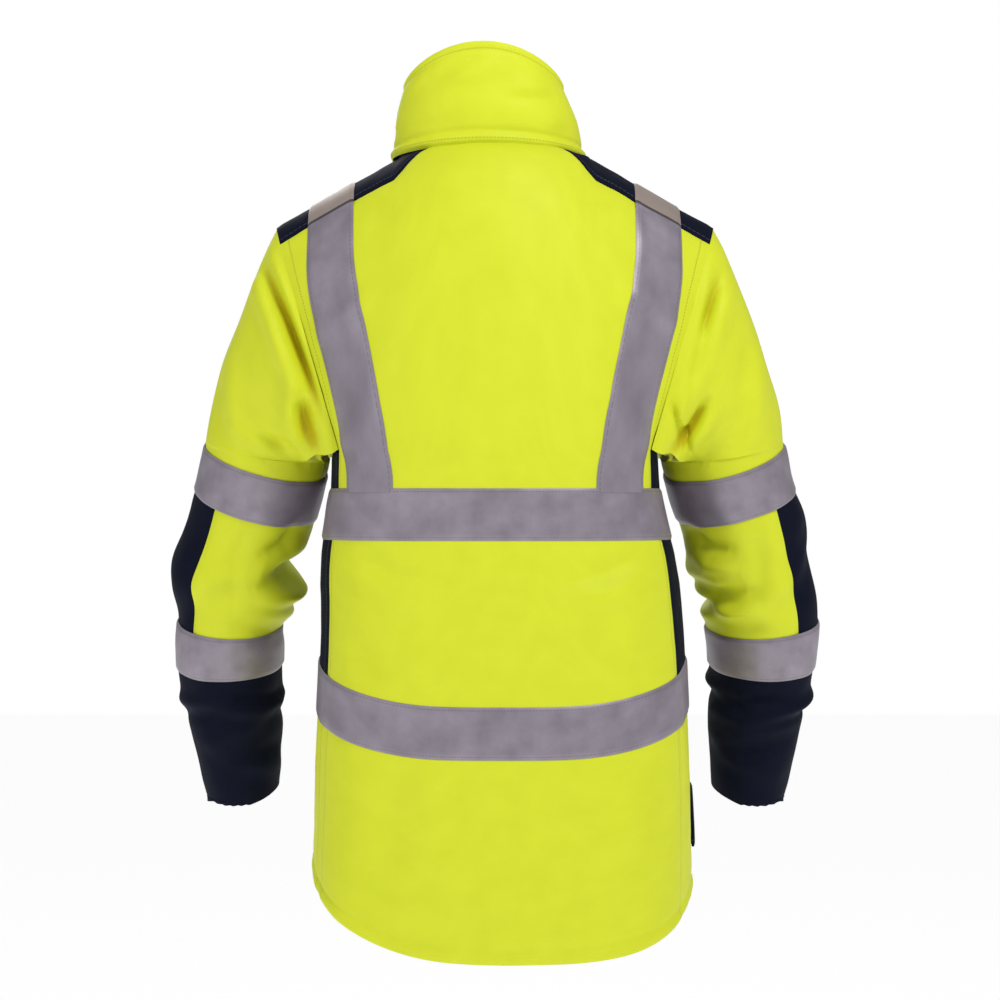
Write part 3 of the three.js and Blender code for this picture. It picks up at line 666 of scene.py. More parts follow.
def makeStitchGroup():
    # one dashed row of thread, where Off, the distance from the edge in metres, comes to Inset
    defaults = {"Along": 0.0, "Off": 0.0, "Inset": 0.006}
    inputs = [(label, "NodeSocketFloat", value) for label, value in defaults.items()]
    outputs = [("Thread", "NodeSocketFloat"), ("Dip", "NodeSocketFloat")]
    group, start, end = newGroup("stitchRow", inputs, outputs)
    gap = mathNode(group, "SUBTRACT", start.outputs["Off"], start.outputs["Inset"])
    near = mathNode(group, "LESS_THAN", mathNode(group, "ABSOLUTE", gap), 0.00055)
    dash = mathNode(group, "FRACT", mathNode(group, "MULTIPLY", start.outputs["Along"], 300.0))
    solid = mathNode(group, "LESS_THAN", dash, 0.72)
    group.links.new(mathNode(group, "MULTIPLY", near, solid), end.inputs["Thread"])
    wide = mathNode(group, "DIVIDE", mathNode(group, "ABSOLUTE", gap), 0.0022)
    dip = mathNode(group, "SUBTRACT", 1.0, mathNode(group, "MINIMUM", wide, 1.0))
    group.links.new(dip, end.inputs["Dip"])
    return group


twillGroup = makeTwillGroup()
stitchGroup = makeStitchGroup()


def clothMaterial(name, look):
    material = bpy.data.materials.new(name)
    material.use_nodes = True
    tree = material.node_tree
    shader = tree.nodes["Principled BSDF"]
    uv = tree.nodes.new("ShaderNodeUVMap")
    uv.uv_map = "cloth"
    weave = tree.nodes.new("ShaderNodeGroup")
    weave.node_tree = twillGroup
    weave.inputs["Threads"].default_value = look["threads"]
    tree.links.new(uv.outputs[0], weave.inputs["Vector"])
    # random tone in the cloth; on the tape, where the contrast is raised, the lighter patches are painted
    # sheen
    spread = look.get("sheenContrast", 1.0)
    toneAndSheen = mathNode(tree, "MULTIPLY_ADD", weave.outputs["MottleAndSheen"], spread, 0.5 - 0.5 * spread)
    colour = mixColour(tree, toneAndSheen, look["dark"], look["light"])
    height = mathNode(tree, "MULTIPLY", weave.outputs["Height"], look["weaveHeight"])
    if look.get("stitch"):
        split = tree.nodes.new("ShaderNodeSeparateXYZ")
        tree.links.new(uv.outputs[0], split.inputs[0])
        for axis, length in look["stitch"]:
            along = split.outputs[1 - axis]
            toEnd = mathNode(tree, "SUBTRACT", length, split.outputs[axis])
            off = mathNode(tree, "MINIMUM", split.outputs[axis], toEnd)
            row = tree.nodes.new("ShaderNodeGroup")
            row.node_tree = stitchGroup
            row.inputs["Inset"].default_value = look["stitchInset"]
            tree.links.new(along, row.inputs["Along"])
            tree.links.new(off, row.inputs["Off"])
            shown = mathNode(tree, "MULTIPLY", row.outputs["Thread"], look["threadShow"])
            colour = mixColour(tree, shown, colour, look["thread"])
            height = mathNode(tree, "SUBTRACT", height, mathNode(tree, "MULTIPLY", row.outputs["Dip"], 0.6))
    if "foldShadeColour" in look:
        # painted shade: the colour turns darker and warmer, olive-orange, deep in the drawn creases, standing
        # in for the shade inside the folds
        mark = tree.nodes.new("ShaderNodeAttribute")
        mark.attribute_name = "foldShadeMask"
        depth = mathNode(tree, "MULTIPLY", mark.outputs["Fac"], 0.85)
        colour = mixColour(tree, depth, colour, look["foldShadeColour"])
    tree.links.new(colour, shader.inputs["Base Color"])
    shader.inputs["Roughness"].default_value = look["roughness"]
    shader.inputs["Metallic"].default_value = look.get("metallic", 0.0)
    shader.inputs["Sheen Weight"].default_value = look["sheen"]
    shader.inputs["Specular IOR Level"].default_value = look["specular"]
    addBump(tree, shader, height, look["bump"], 0.0006)
    return material


yellowLook = {
    "threads": 7000.0, "dark": (0.60, 0.665, 0.018), "light": (0.68, 0.745, 0.028), "weaveHeight": 0.25,
    "roughness": 0.55, "sheen": 0.0, "specular": 0.22, "bump": 0.16, "thread": (0.42, 0.46, 0.03),
    "threadShow": 0.8, "stitchInset": 0.006,
}
navyLook = {
    "threads": 7000.0, "dark": (0.0035, 0.0048, 0.013), "light": (0.0060, 0.0078, 0.020), "weaveHeight": 0.25,
    "roughness": 0.66, "sheen": 0.0, "specular": 0.05, "bump": 0.20, "thread": (0.05, 0.055, 0.08),
    "threadShow": 0.8, "stitchInset": 0.006,
}
tapeLook = {
    # the tape's light colour and raised contrast paint soft patches of sheen
    "threads": 9000.0, "sheenContrast": 1.3, "dark": (0.175, 0.152, 0.182), "light": (0.34, 0.30, 0.36),
    "weaveHeight": 0.12, "roughness": 0.44, "sheen": 0.0, "specular": 0.45, "bump": 0.15,
    "thread": (0.12, 0.11, 0.12), "threadShow": 0.45, "stitchInset": 0.003, "metallic": 0.35,
}
liningLook = {
    "threads": 3200.0, "dark": (0.006, 0.007, 0.014), "light": (0.012, 0.014, 0.024), "weaveHeight": 0.2,
    "roughness": 0.55, "sheen": 0.0, "specular": 0.15, "bump": 0.2,
}


def withStitch(look, *rows):
    return {**look, "stitch": rows}


def paintReflectionPastSeam(material, reflectionTint):
    # painted reflection: the tape over the yoke faces more upward and is painted warmer and lighter, as it
    # catches the light there; a dark seam line marks the join
    tree = material.node_tree
    shader = tree.nodes["Principled BSDF"]
    colour = shader.inputs["Base Color"].links[0].from_socket
    mark = tree.nodes.new("ShaderNodeAttribute")
    mark.attribute_name = "pastSeam"
    past = mathNode(tree, "GREATER_THAN", mark.outputs["Fac"], 0.0)
    tint = mixColour(tree, mathNode(tree, "MULTIPLY", past, 0.72), colour, reflectionTint)
    near = mathNode(tree, "LESS_THAN", mathNode(tree, "ABSOLUTE", mark.outputs["Fac"]), 0.0009)
    seam = mixColour(tree, mathNode(tree, "MULTIPLY", near, 0.85), tint, (0.03, 0.027, 0.03))
    tree.links.new(seam, shader.inputs["Base Color"])


def hardMaterial(name, colour, metallic, roughness):
    material = bpy.data.materials.new(name)
    material.use_nodes = True
    tree = material.node_tree
    shader = tree.nodes["Principled BSDF"]
    shader.inputs["Metallic"].default_value = metallic
    place = tree.nodes.new("ShaderNodeTexCoord")
    noise = tree.nodes.new("ShaderNodeTexNoise")
    noise.inputs["Scale"].default_value = 420.0
    noise.inputs["Detail"].default_value = 3.0
    tree.links.new(place.outputs["Object"], noise.inputs["Vector"])
    tint = mixColour(tree, noise.outputs["Fac"], tuple(c * 0.8 for c in colour), colour)
    tree.links.new(tint, shader.inputs["Base Color"])
    spread = mathNode(tree, "MULTIPLY_ADD", noise.outputs["Fac"], 0.15, roughness)
    tree.links.new(spread, shader.inputs["Roughness"])
    addBump(tree, shader, noise.outputs["Fac"], 0.15, 0.0003)
    return material


zipMetal = hardMaterial("zipMetal", (0.42, 0.42, 0.44), 1.0, 0.28)


def dress(piece, material, slotName, body, *nodes):
    piece.data.materials.clear()
    piece.data.materials.append(material)
    if nodes:
        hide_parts(*nodes)
    if body:
        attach(piece, body)


view = {"distance": 3.1, "height": -0.348, "aside": -0.005, "lens": 111.6}


def addCamera():
    bpy.ops.object.camera_add(location=(view["aside"], view["distance"], view["height"]))
    camera = bpy.context.object
    camera.rotation_euler = (math.radians(90), 0, math.radians(180))
    camera.data.lens = view["lens"]
    bpy.context.scene.camera = camera


def addLight(name, place, size, power):
    bpy.ops.object.light_add(type="AREA", location=place)
    light = bpy.context.object
    light.name = name
    light.data.size = size
    light.data.energy = power
    toward = Vector((0, 0, -0.35)) - Vector(place)
    light.rotation_euler = toward.to_track_quat("-Z", "Y").to_euler()


studio = {"around": 0.42, "floor": 0.97, "glow": 0.56}


def addStage():
    bpy.ops.mesh.primitive_plane_add(size=30, location=(0, 0, -1.6))
    floor = bpy.context.object
    floor.name = "floor"
    pale = bpy.data.materials.new("paleFloor")
    pale.use_nodes = True
    shader = pale.node_tree.nodes["Principled BSDF"]
    shader.inputs["Base Color"].default_value = (studio["floor"],) * 3 + (1,)
    shader.inputs["Roughness"].default_value = 0.9
    shader.inputs["Emission Color"].default_value = (1, 1, 1, 1)
    shader.inputs["Emission Strength"].default_value = studio["glow"]
    floor.data.materials.append(pale)
    world = bpy.data.worlds.new("studio")
    world.use_nodes = True
    tree = world.node_tree
    sky = tree.nodes["Background"]
    sky.inputs["Color"].default_value = (1, 1, 1, 1)
    path = tree.nodes.new("ShaderNodeLightPath")
    # the camera sees white, and the coat is lit by less
    around = studio["around"]
    seen = mathNode(tree, "MULTIPLY_ADD", path.outputs["Is Camera Ray"], 1.0 - around, around)
    tree.links.new(seen, sky.inputs["Strength"])
    bpy.context.scene.world = world
    bpy.context.scene.view_settings.view_transform = "Standard"


addCamera()
addLight("key", (-0.8, 1.6, 1.6), 0.8, 35)
addLight("fill", (1.9, 1.9, 0.6), 1.4, 9)
addLight("front", (0.6, -2.6, 1.2), 2.0, 30)
addStage()
print("camera, light and floor")


sideNames = [("left", 1), ("right", -1)]


def gutter(edge, rest, depth=0.0011, width=0.004):
    # cloth dips into the seam at a panel's edge; edge is the distance from it in metres
    return rest - depth * bell(edge, width)


def hemRoll(up):
    # the turned hem stands out near its fold and dips at its stitches; up is the height above the edge
    return 0.0016 * bell(up - 0.004, 0.0045) - 0.0012 * bell(up - 0.013, 0.003)


def panelPlace(turnLow, turnHigh, lowOf, highOf, rest, hem=False):
    def place(across, along):
        turn = mix(turnLow, turnHigh, across)
        low = lowOf(turn)
        high = highOf(turn)
        level = mix(low, high, along)
        width = abs(turnHigh - turnLow) / 180 * math.pi * coat["girthRadius"]
        edge = np.minimum(across, 1 - across) * width
        tall = np.abs(high - low)
        edge = np.minimum(edge, (1 - along) * tall)
        lift = gutter(edge, rest)
        if hem:
            up = along * tall
            lift = lift + hemRoll(up) - 0.0012 * bell(up, 0.002)
        else:
            lift = np.minimum(lift, gutter(along * tall, rest))
        return onBody(turn, level, lift)
    return place


def atLevel(level):
    return lambda turn: level + 0 * turn


def makeShell():
    rest = coat["clothRest"]
    thick = coat["clothThick"]
    yellow = clothMaterial("yellowTwill", withStitch(yellowLook, (0, 0.36)))
    navy = clothMaterial("navyTwill", withStitch(navyLook, (0, 0.12)))
    arm = coat["armTurn"]
    back = clothPiece(
        "back", 110, 200, panelPlace(-arm, arm, hemLevel, lambda t: yokeEdge(t) - 0.0004, rest, hem=True),
        thick, sizeUV=(0.36, 0.80))
    dress(back, yellow, "yellow_shell", "coat_body", "back_panel")
    for name, sign in sideNames:
        ends = sorted((sign * arm, sign * (180 - arm)))
        side = clothPiece(
            f"{name}Side", 44, 70,
            panelPlace(ends[0], ends[1], lambda t: hemTapeLevel(t) - 0.025, atLevel(coat["armpit"]), rest),
            thick, sizeUV=(0.14, 0.26))
        dress(side, navy, "navy_shell", "coat_body", f"{name}_side_panel")
        lower = clothPiece(
            f"{name}SideHem", 44, 50,
            panelPlace(ends[0], ends[1], hemLevel, lambda t: hemTapeLevel(t) - 0.025, rest, hem=True),
            thick, sizeUV=(0.14, 0.20))
        dress(lower, yellow, "yellow_shell", "coat_body", f"{name}_side_hem_panel")

        def frontPlace(across, along, sign=sign):
            turn = mix(180 - arm, 172.0, across)
            for _ in range(3):
                level = mix(hemLevel(turn), yokeEdge(turn), along)
                edgeTurn = turnAt(np.full_like(level, coat["frontEdge"]), level, True)
                turn = mix(180 - arm, edgeTurn, across)
            level = mix(hemLevel(turn), yokeEdge(turn) - 0.0004, along)
            edge = np.minimum(np.minimum(across, 1 - across) * 0.17, (1 - along) * 0.65)
            lift = gutter(edge, rest)
            return onBody(sign * turn, level, lift + hemRoll(along * 0.65))

        front = clothPiece(f"{name}Front", 50, 160, frontPlace, thick, outSign=sign, sizeUV=(0.17, 0.68))
        dress(front, yellow, "yellow_shell", "coat_body", f"{name}_front_panel")

        def yokePlace(across, along, sign=sign):
            front = across > 0.5
            share = np.abs(across - 0.5) * 2
            away = mix(mix(coat["neckTurn"], coat["yokeTurn"], share), arm, along)
            turn = np.where(front, 180 - away, away)
            level = mix(shoulderTop - 0.0001, yokeEdge(away), share)
            edge = np.minimum((1 - share) * 0.055, np.minimum(along, 1 - along) * 0.13)
            return onBody(sign * turn, level, gutter(edge, rest + 0.0003))

        yoke = clothPiece(f"{name}Yoke", 48, 50, yokePlace, thick, outSign=-sign, sizeUV=(0.11, 0.13))
        dress(yoke, navy, "navy_shell", "coat_body", f"{name}_shoulder_yoke")


braceRun = {"lowX": 0.120, "highX": 0.160, "halfWidth": 0.0225, "overTapes": 0.0003}


def makeTapes():
    rest = coat["tapeRest"]
    thick = coat["tapeThick"]
    half = coat["tapeWidth"] / 2
    tape = clothMaterial("reflectiveTape", withStitch(tapeLook, (1, coat["tapeWidth"])))
    arm = coat["armTurn"]

    def bandPlace(turnLow, turnHigh, middleOf):
        def place(across, along):
            turn = mix(turnLow, turnHigh, across)
            level = middleOf(turn) + mix(-half, half, along)
            edge = np.minimum(along, 1 - along) * 2 * half
            return onBody(turn, level, rest - 0.0014 * bell(edge, 0.0016))
        return place

    bands = [("waistTape", "waist_tape", atLevel(coat["waistTape"])), ("hemTape", "hem_tape", hemTapeLevel)]
    for name, node, middleOf in bands:
        back = clothPiece(f"{name}Back", 120, 16, bandPlace(-arm, arm, middleOf), thick, sizeUV=(0.36, 0.05))
        dress(back, tape, "reflective_tape", "coat_body", f"{node}_back")
        for side, sign in sideNames:
            edge = 180 - math.degrees(math.atan2(coat["frontEdge"], 0.13))
            place = bandPlace(*sorted((sign * arm, sign * edge)), middleOf)
            label = f"{side}{name[0].upper()}{name[1:]}Front"
            front = clothPiece(label, 110, 16, place, thick, sizeUV=(0.33, 0.05))
            dress(front, tape, "reflective_tape", "coat_body", f"{side}_{node}_front")
    brace = clothMaterial("braceTape", withStitch(tapeLook, (0, coat["tapeWidth"])))
    # painted reflection: the brace is warmer and lighter where it crosses the yoke
    paintReflectionPastSeam(brace, (0.36, 0.285, 0.225))
    waistTop = coat["waistTape"] + half

    def braceSpot(across, along):
        up = 1 - np.abs(along - 0.5) * 2
        level = mix(waistTop - 0.004, shoulderTop - 0.0001, np.sin(up * math.pi / 2) ** 0.9)
        share = np.clip((level - waistTop) / (shoulderTop - waistTop), 0, 1)
        middle = mix(braceRun["lowX"], braceRun["highX"], smooth(share, 0.02, 0.62))
        x = middle + braceRun["halfWidth"] * (2 * across - 1)
        return turnAt(x, level, along > 0.5), level

    def braceMarks(across, along):
        turn, level = braceSpot(across, along)
        return (level - yokeEdge(turn)) * 0.5

    for side, sign in sideNames:
        def bracePlace(across, along, sign=sign):
            turn, level = braceSpot(across, along)
            edge = np.minimum(across, 1 - across) * 2 * half
            return onBody(sign * turn, level, rest + braceRun["overTapes"] - 0.0014 * bell(edge, 0.0016))

        strip = clothPiece(f"{side}Brace", 16, 260, bracePlace, thick, outSign=sign, sizeUV=(0.05, 0.62),
                           marks=("pastSeam", braceMarks))
        dress(strip, brace, "reflective_tape", "coat_body", f"{side}_brace_tape")


def collarAt(turn, along, lift):
    # turn is -180 to 180 round the collar, along runs from the neck seam to the top edge
    neck = topEdge(np.where(np.abs(turn) < 90, turn / 90 * coat["neckTurn"],
                            np.sign(turn) * (180 - (180 - np.abs(turn)) / 90 * coat["neckTurn"])))
    behind = (neck[..., 1] + coat["neckFront"]) / (coat["neckBack"] + coat["neckFront"])
    height = mix(0.074, 0.101, behind)
    height = height - np.where(behind > 0.2, 0.018 * np.sin(math.pi * (behind - 0.2) / 0.8), 0)
    bow = 1 + 0.03 * np.sin(math.pi * along) - 0.05 * along
    flat = np.linalg.norm(neck[..., :2], axis=-1)
    grow = (flat + lift) / flat
    up = neck[..., 2] + 0.001 + height * along
    spot = np.stack([neck[..., 0] * bow * grow, neck[..., 1] * bow * grow, up], -1)
    # the stand leans to the left and draws in towards its top edge
    rise = [-0.05, -0.012, 0.004, 0.030, 0.060, 0.110]
    aside = np.interp(spot[..., 2], rise, [0.002, 0.006, 0.0075, 0.0085, 0.0115, 0.0115])
    draw = np.interp(spot[..., 2], rise, [1.0, 1.02, 1.0, 0.955, 0.885, 0.80])
    spot[..., 0] = spot[..., 0] * draw + aside
    return spot


collarFolds = [
    # start, end, width, height
    ((0.100, 0.000, 0.012), (0.030, 0.058, 0.060), 0.0050, -0.0042),
    ((0.096, 0.010, 0.024), (0.026, 0.060, 0.070), 0.0060, 0.0045),
    ((0.070, 0.040, 0.066), (0.014, 0.060, 0.088), 0.0070, -0.0030),
    ((0.088, 0.015, 0.052), (0.050, 0.050, 0.078), 0.0080, 0.0030),
    ((-0.070, 0.035, 0.028), (0.060, 0.050, 0.030), 0.0070, 0.0026),
    ((-0.075, 0.035, 0.016), (0.050, 0.052, 0.014), 0.0060, -0.0020),
    ((-0.078, 0.030, 0.062), (-0.020, 0.058, 0.058), 0.0080, 0.0026),
    ((-0.060, 0.040, 0.048), (-0.010, 0.060, 0.046), 0.0060, -0.0020),
]


def makeCollar():
    def outerPlace(across, along):
        turn = mix(-176.0, 176.0, across)
        flatSpot = collarAt(turn, along, 0.0)
        billow = 0.0012 * valueNoise(flatSpot, (0.05, 0.05, 0.02), 5)
        lift = 0.001 + billow * np.sin(math.pi * np.clip(along, 0, 1))
        lift = lift + 0.0026 * bell(along - 0.05, 0.035) - 0.0015 * bell(along - 0.14, 0.03)
        for low, high, width, height in collarFolds:
            lift = lift + ridge(flatSpot, low, high, width, height)
        lift = lift + 0.0016 * bell(along - 0.98, 0.03) - 0.0010 * bell(along - 0.91, 0.02)
        return collarAt(turn, along, lift)

    collar = clothPiece("collarStand", 150, 50, outerPlace, 0.0012, sizeUV=(0.55, 0.10))
    yellow = clothMaterial("collarTwill", withStitch(yellowLook, (1, 0.10)))
    dress(collar, yellow, "yellow_shell", "coat_body", "collar")

    def innerPlace(across, along):
        turn = mix(-175.5, 175.5, across)
        top = smooth(along, 0.93, 1.0)
        return collarAt(turn, 0.02 + along * 0.965, mix(-0.0032, -0.0010, top))

    inner = clothPiece("collarLining", 130, 40, innerPlace, 0.001, sizeUV=(0.52, 0.10))
    lining = clothMaterial("collarLiningCloth", liningLook)
    dress(inner, lining, "lining", "coat_body", "collar_lining")


makeShell()
print("shell")
makeTapes()
print("tapes")
makeCollar()
print("collar")


def makeSleeves():
    rest = coat["clothRest"]
    # the sleeve yellow carries painted shade, darker olive-orange in its drawn creases
    yellow = clothMaterial("sleeveTwill", {**yellowLook, "foldShadeColour": (0.50, 0.40, 0.004)})
    navy = clothMaterial("sleeveNavy", navyLook)
    tape = clothMaterial("sleeveTape", withStitch(tapeLook, (1, coat["tapeWidth"])))
    knit = clothMaterial("cuffKnit", {**navyLook, "threads": 900.0, "bump": 0.8, "weaveHeight": 0.8})
    headShare = sleeve["headShare"]
    thick = coat["clothThick"]
    tapeRest = coat["tapeRest"]
    tapeThick = coat["tapeThick"]
    for name, sign in sideNames:
        upper, lower = f"{name}_upper_arm", f"{name}_lower_arm"

        def topPlace(across, along, sign=sign):
            theta = across * 360
            inHead = np.clip(along / headShare, 0, 1)
            head = onSleeveHead(theta, inHead, gutter(inHead * 0.12, rest), sign)
            inBand = np.clip((along - headShare) / (1 - headShare), 0, 1)
            level = mix(sleeve["top"], sleeve["bandEnd"] + 0.010, inBand)
            band = onSleeve(theta, level, rest, sign)
            return np.where((along > headShare)[..., None], band, head)

        def foldShadeMask(across, along, sign=sign):
            # how deep in a drawn fold each point lies, from 0 to 1; the mask for the painted shade in the
            # folds
            theta = across * 360
            behind = smooth(np.sin(np.radians(theta)), 0.12, 0.5)
            behind = behind * smooth(along, 0, 0.05) * (1 - smooth(along, 0.70, headShare))
            depth = drawnCreases(topPlace(across, along), sign, behind, armCreases)
            return smooth(-depth, 0.002, 0.016)

        head = clothPiece(f"{name}SleeveTop", 200, 150, topPlace, thick, closed=True, outSign=-sign,
                          sizeUV=(0.42, 0.28), marks=("foldShadeMask", foldShadeMask))
        dress(head, yellow, "yellow_shell", None, f"{name}_sleeve_head", f"{name}_upper_sleeve")

        def ringPlace(top, end, lift, folded=1.0, sign=sign, edge=True, slant=0.0):
            def place(across, along):
                level = mix(top, end - slant * np.cos(across * 2 * math.pi), along)
                height = abs(top - end)
                dip = 0.0013 * bell(np.minimum(along, 1 - along) * height, 0.0016) if edge else 0.0
                return onSleeve(across * 360, level, lift - dip, sign, folded)
            return place

        top, end = sleeve["upperTape"]
        upperTape = clothPiece(f"{name}UpperTape", 150, 16, ringPlace(top, end, tapeRest), tapeThick,
                               closed=True, outSign=-sign, sizeUV=(0.42, 0.05))
        dress(upperTape, tape, "reflective_tape", None, f"{name}_upper_sleeve_tape")
        for piece in (head, upperTape):
            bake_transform(piece)

        parts = [("Outer", sleeve["frontSeam"], sleeve["backSeam"], navy, "navy_shell", 60),
                 ("Inner", sleeve["backSeam"], 360 + sleeve["frontSeam"], yellow, "yellow_shell", 110)]
        for label, fromTheta, toTheta, cloth, slotName, columns in parts:
            def elbowPlace(across, along, fromTheta=fromTheta, toTheta=toTheta, sign=sign):
                level = mix(sleeve["bandEnd"] + 0.0095, sleeve["forearmTop"] - 0.0135, along)
                width = (toTheta - fromTheta) / 360 * 0.38
                lift = gutter(np.minimum(across, 1 - across) * width, rest)
                return onSleeve(mix(fromTheta, toTheta, across), level, lift, sign)

            elbow = clothPiece(f"{name}Elbow{label}", columns, 60, elbowPlace, thick, outSign=-sign,
                               sizeUV=(0.2, 0.12))
            dress(elbow, cloth, slotName, None, f"{name}_elbow_{label.lower()}_panel")
            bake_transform(elbow)

        cutAt = sleeve["forearmTop"] - 0.014
        tube = ringPlace(cutAt, sleeve["end"], rest, edge=False, slant=sleeve["cuffSlant"])
        forearm = clothPiece(f"{name}Forearm", 140, 100, tube, thick, closed=True, outSign=-sign,
                             sizeUV=(0.36, 0.19))
        dress(forearm, navy, "navy_shell", lower, f"{name}_forearm")
        top, end = sleeve["forearmTape"]
        lowerTape = clothPiece(f"{name}ForearmTape", 140, 16, ringPlace(top, end, tapeRest), tapeThick,
                               closed=True, outSign=-sign, sizeUV=(0.36, 0.05))
        dress(lowerTape, tape, "reflective_tape", lower, f"{name}_forearm_tape")

        def cuffPlace(across, along, sign=sign):
            rib = 0.0006 * np.sin(across * 2 * math.pi * 60)
            level = mix(sleeve["cuffTop"], sleeve["end"] + 0.004, along)
            return onSleeve(across * 360, level, -0.004 + rib, sign)

        cuff = clothPiece(f"{name}InnerCuff", 240, 20, cuffPlace, 0.001, closed=True, outSign=-sign,
                          sizeUV=(0.3, 0.06))
        dress(cuff, knit, "black_trim", lower, f"{name}_inner_cuff")


makeSleeves()
print("sleeves")


quilt = {"depth": 0.0016, "gap": 0.055, "inside": 0.0062, "thickness": 0.0022, "radius": 0.17}


def quiltLift(turn, level):
    # diamond quilting: stitched lines draw the padding in
    around = turn / 180 * math.pi * quilt["radius"]
    a = np.abs(np.sin(math.pi * (around + level) / quilt["gap"]))
    b = np.abs(np.sin(math.pi * (around - level) / quilt["gap"]))
    return quilt["depth"] * np.sqrt(np.minimum(a, b))


def makeLinings():
    cloth = clothMaterial("liningCloth", liningLook)
    facingCloth = clothMaterial("hemFacingTwill", withStitch(yellowLook, (1, 0.015)))
    middle = 180.0 - coat["armTurn"]
    arm = coat["armTurn"]
    stretches = [("backLining", -arm, arm, 110, shoulderTop - 0.001, ["back_lining"]),
                 ("leftSideLining", arm, middle, 44, coat["armpit"] - 0.012, []),
                 ("rightSideLining", -middle, -arm, 44, coat["armpit"] - 0.012, [])]
    for name, fromTurn, toTurn, columns, top, nodes in stretches:
        def liningPlace(across, along, fromTurn=fromTurn, toTurn=toTurn, top=top):
            turn = mix(fromTurn, toTurn, across)
            level = mix(hemLevel(turn) + 0.017, top, along)
            return onBody(turn, level, -quilt["inside"] + quiltLift(turn, level) * 0.9)

        layer = clothPiece(name, columns, 170, liningPlace, quilt["thickness"], sizeUV=(0.36, 0.75))
        dress(layer, cloth, "lining", "coat_body", *nodes)

    def facingPlace(across, along):
        turn = mix(-middle, middle, across)
        return onBody(turn, hemLevel(turn) + 0.0012 + 0.016 * along, -0.0026)

    facing = clothPiece("hemFacing", 150, 6, facingPlace, 0.0008, sizeUV=(0.68, 0.015))
    dress(facing, facingCloth, "yellow_shell", "coat_body", "back_hem_facing")
    for name, sign in sideNames:
        def frontPlace(across, along, sign=sign):
            low = hemLevel(middle * sign)
            level = mix(low + 0.014, shoulderTop - 0.001, along)
            edge = turnAt(np.full_like(level, 0.021), level, True)
            turn = mix(middle, edge, across)
            return onBody(sign * turn, level, -quilt["inside"] + quiltLift(turn, level) * 0.9)

        front = clothPiece(f"{name}FrontLining", 60, 150, frontPlace, quilt["thickness"], outSign=sign,
                           sizeUV=(0.17, 0.68))
        dress(front, cloth, "lining", "coat_body", f"{name}_front_lining")

    webbing = clothMaterial("loopWebbing", {**liningLook, "threads": 2200.0, "bump": 0.5, "weaveHeight": 0.6})

    def loopPlace(across, along):
        off = -0.0058 - 0.0085 * np.sin(math.pi * across)
        return collarAt(mix(-34.0, 34.0, across), 0.18 + 0.13 * along, off)

    loop = clothPiece("hangLoop", 40, 4, loopPlace, 0.0012, sizeUV=(0.1, 0.01))
    dress(loop, webbing, "black_trim", "coat_body", "hang_loop")


zipper = {
    "top": -0.079, "bottom": -0.727, "pitch": 0.0030, "tooth": (0.0042, 0.0024, 0.0015), "toothOut": 0.0016,
    "tapeInner": 0.0030, "tapeOuter": 0.0170, "guardHalfWidth": 0.0145,
}
puller = {"top": -0.0880, "bottom": -0.1320, "out": 0.0078, "thick": 0.0015, "wide": 0.0078}


def onFront(x, level, out):
    # the front middle is a flat strip leaning back a little; out is the distance in front of it
    x, level, out = np.broadcast_arrays(x, level, out)
    return lean(np.stack([x, -frontDepth(level) - out, level], -1))


def moveToFront(piece):
    # the piece was made upright, x across, y out of the coat, z its height
    mesh = piece.data
    flat = np.empty(len(mesh.vertices) * 3)
    mesh.vertices.foreach_get("co", flat)
    flat = flat.reshape(-1, 3)
    spots = onFront(flat[:, 0], flat[:, 2], flat[:, 1])
    mesh.vertices.foreach_set("co", np.ascontiguousarray(spots).ravel())
    mesh.flip_normals()
    mesh.update()


def block(name, middle, size, bevel, segments=2):
    # a cube with its place in its mesh, rounded on every edge
    deselectAll()
    bpy.ops.mesh.primitive_cube_add(size=1, location=middle)
    piece = bpy.context.object
    piece.name = name
    piece.data.name = name
    piece.scale = size
    bpy.ops.object.transform_apply(location=True, rotation=True, scale=True)
    bpy.ops.object.mode_set(mode="EDIT")
    bpy.ops.mesh.select_all(action="SELECT")
    bpy.ops.mesh.bevel(offset=bevel, segments=segments, affect="EDGES")
    bpy.ops.object.mode_set(mode="OBJECT")
    return piece


def joined(name, pieces):
    deselectAll()
    for piece in pieces:
        piece.select_set(True)
    bpy.context.view_layer.objects.active = pieces[0]
    bpy.ops.object.join()
    whole = bpy.context.object
    whole.name = name
    whole.data.name = name
    return whole


def pressFront(piece, steps):
    # insets the face that looks out of the coat, once for each thickness and depth
    deselectAll()
    piece.select_set(True)
    bpy.context.view_layer.objects.active = piece
    bpy.ops.object.mode_set(mode="EDIT")
    work = bmesh.from_edit_mesh(piece.data)
    face = max(work.faces, key=lambda f: f.calc_area() * (f.normal.y > 0.9))
    for f in work.faces:
        f.select_set(f is face)
    bmesh.update_edit_mesh(piece.data)
    for thickness, depth in steps:
        bpy.ops.mesh.inset(thickness=thickness, depth=depth)
    bpy.ops.object.mode_set(mode="OBJECT")


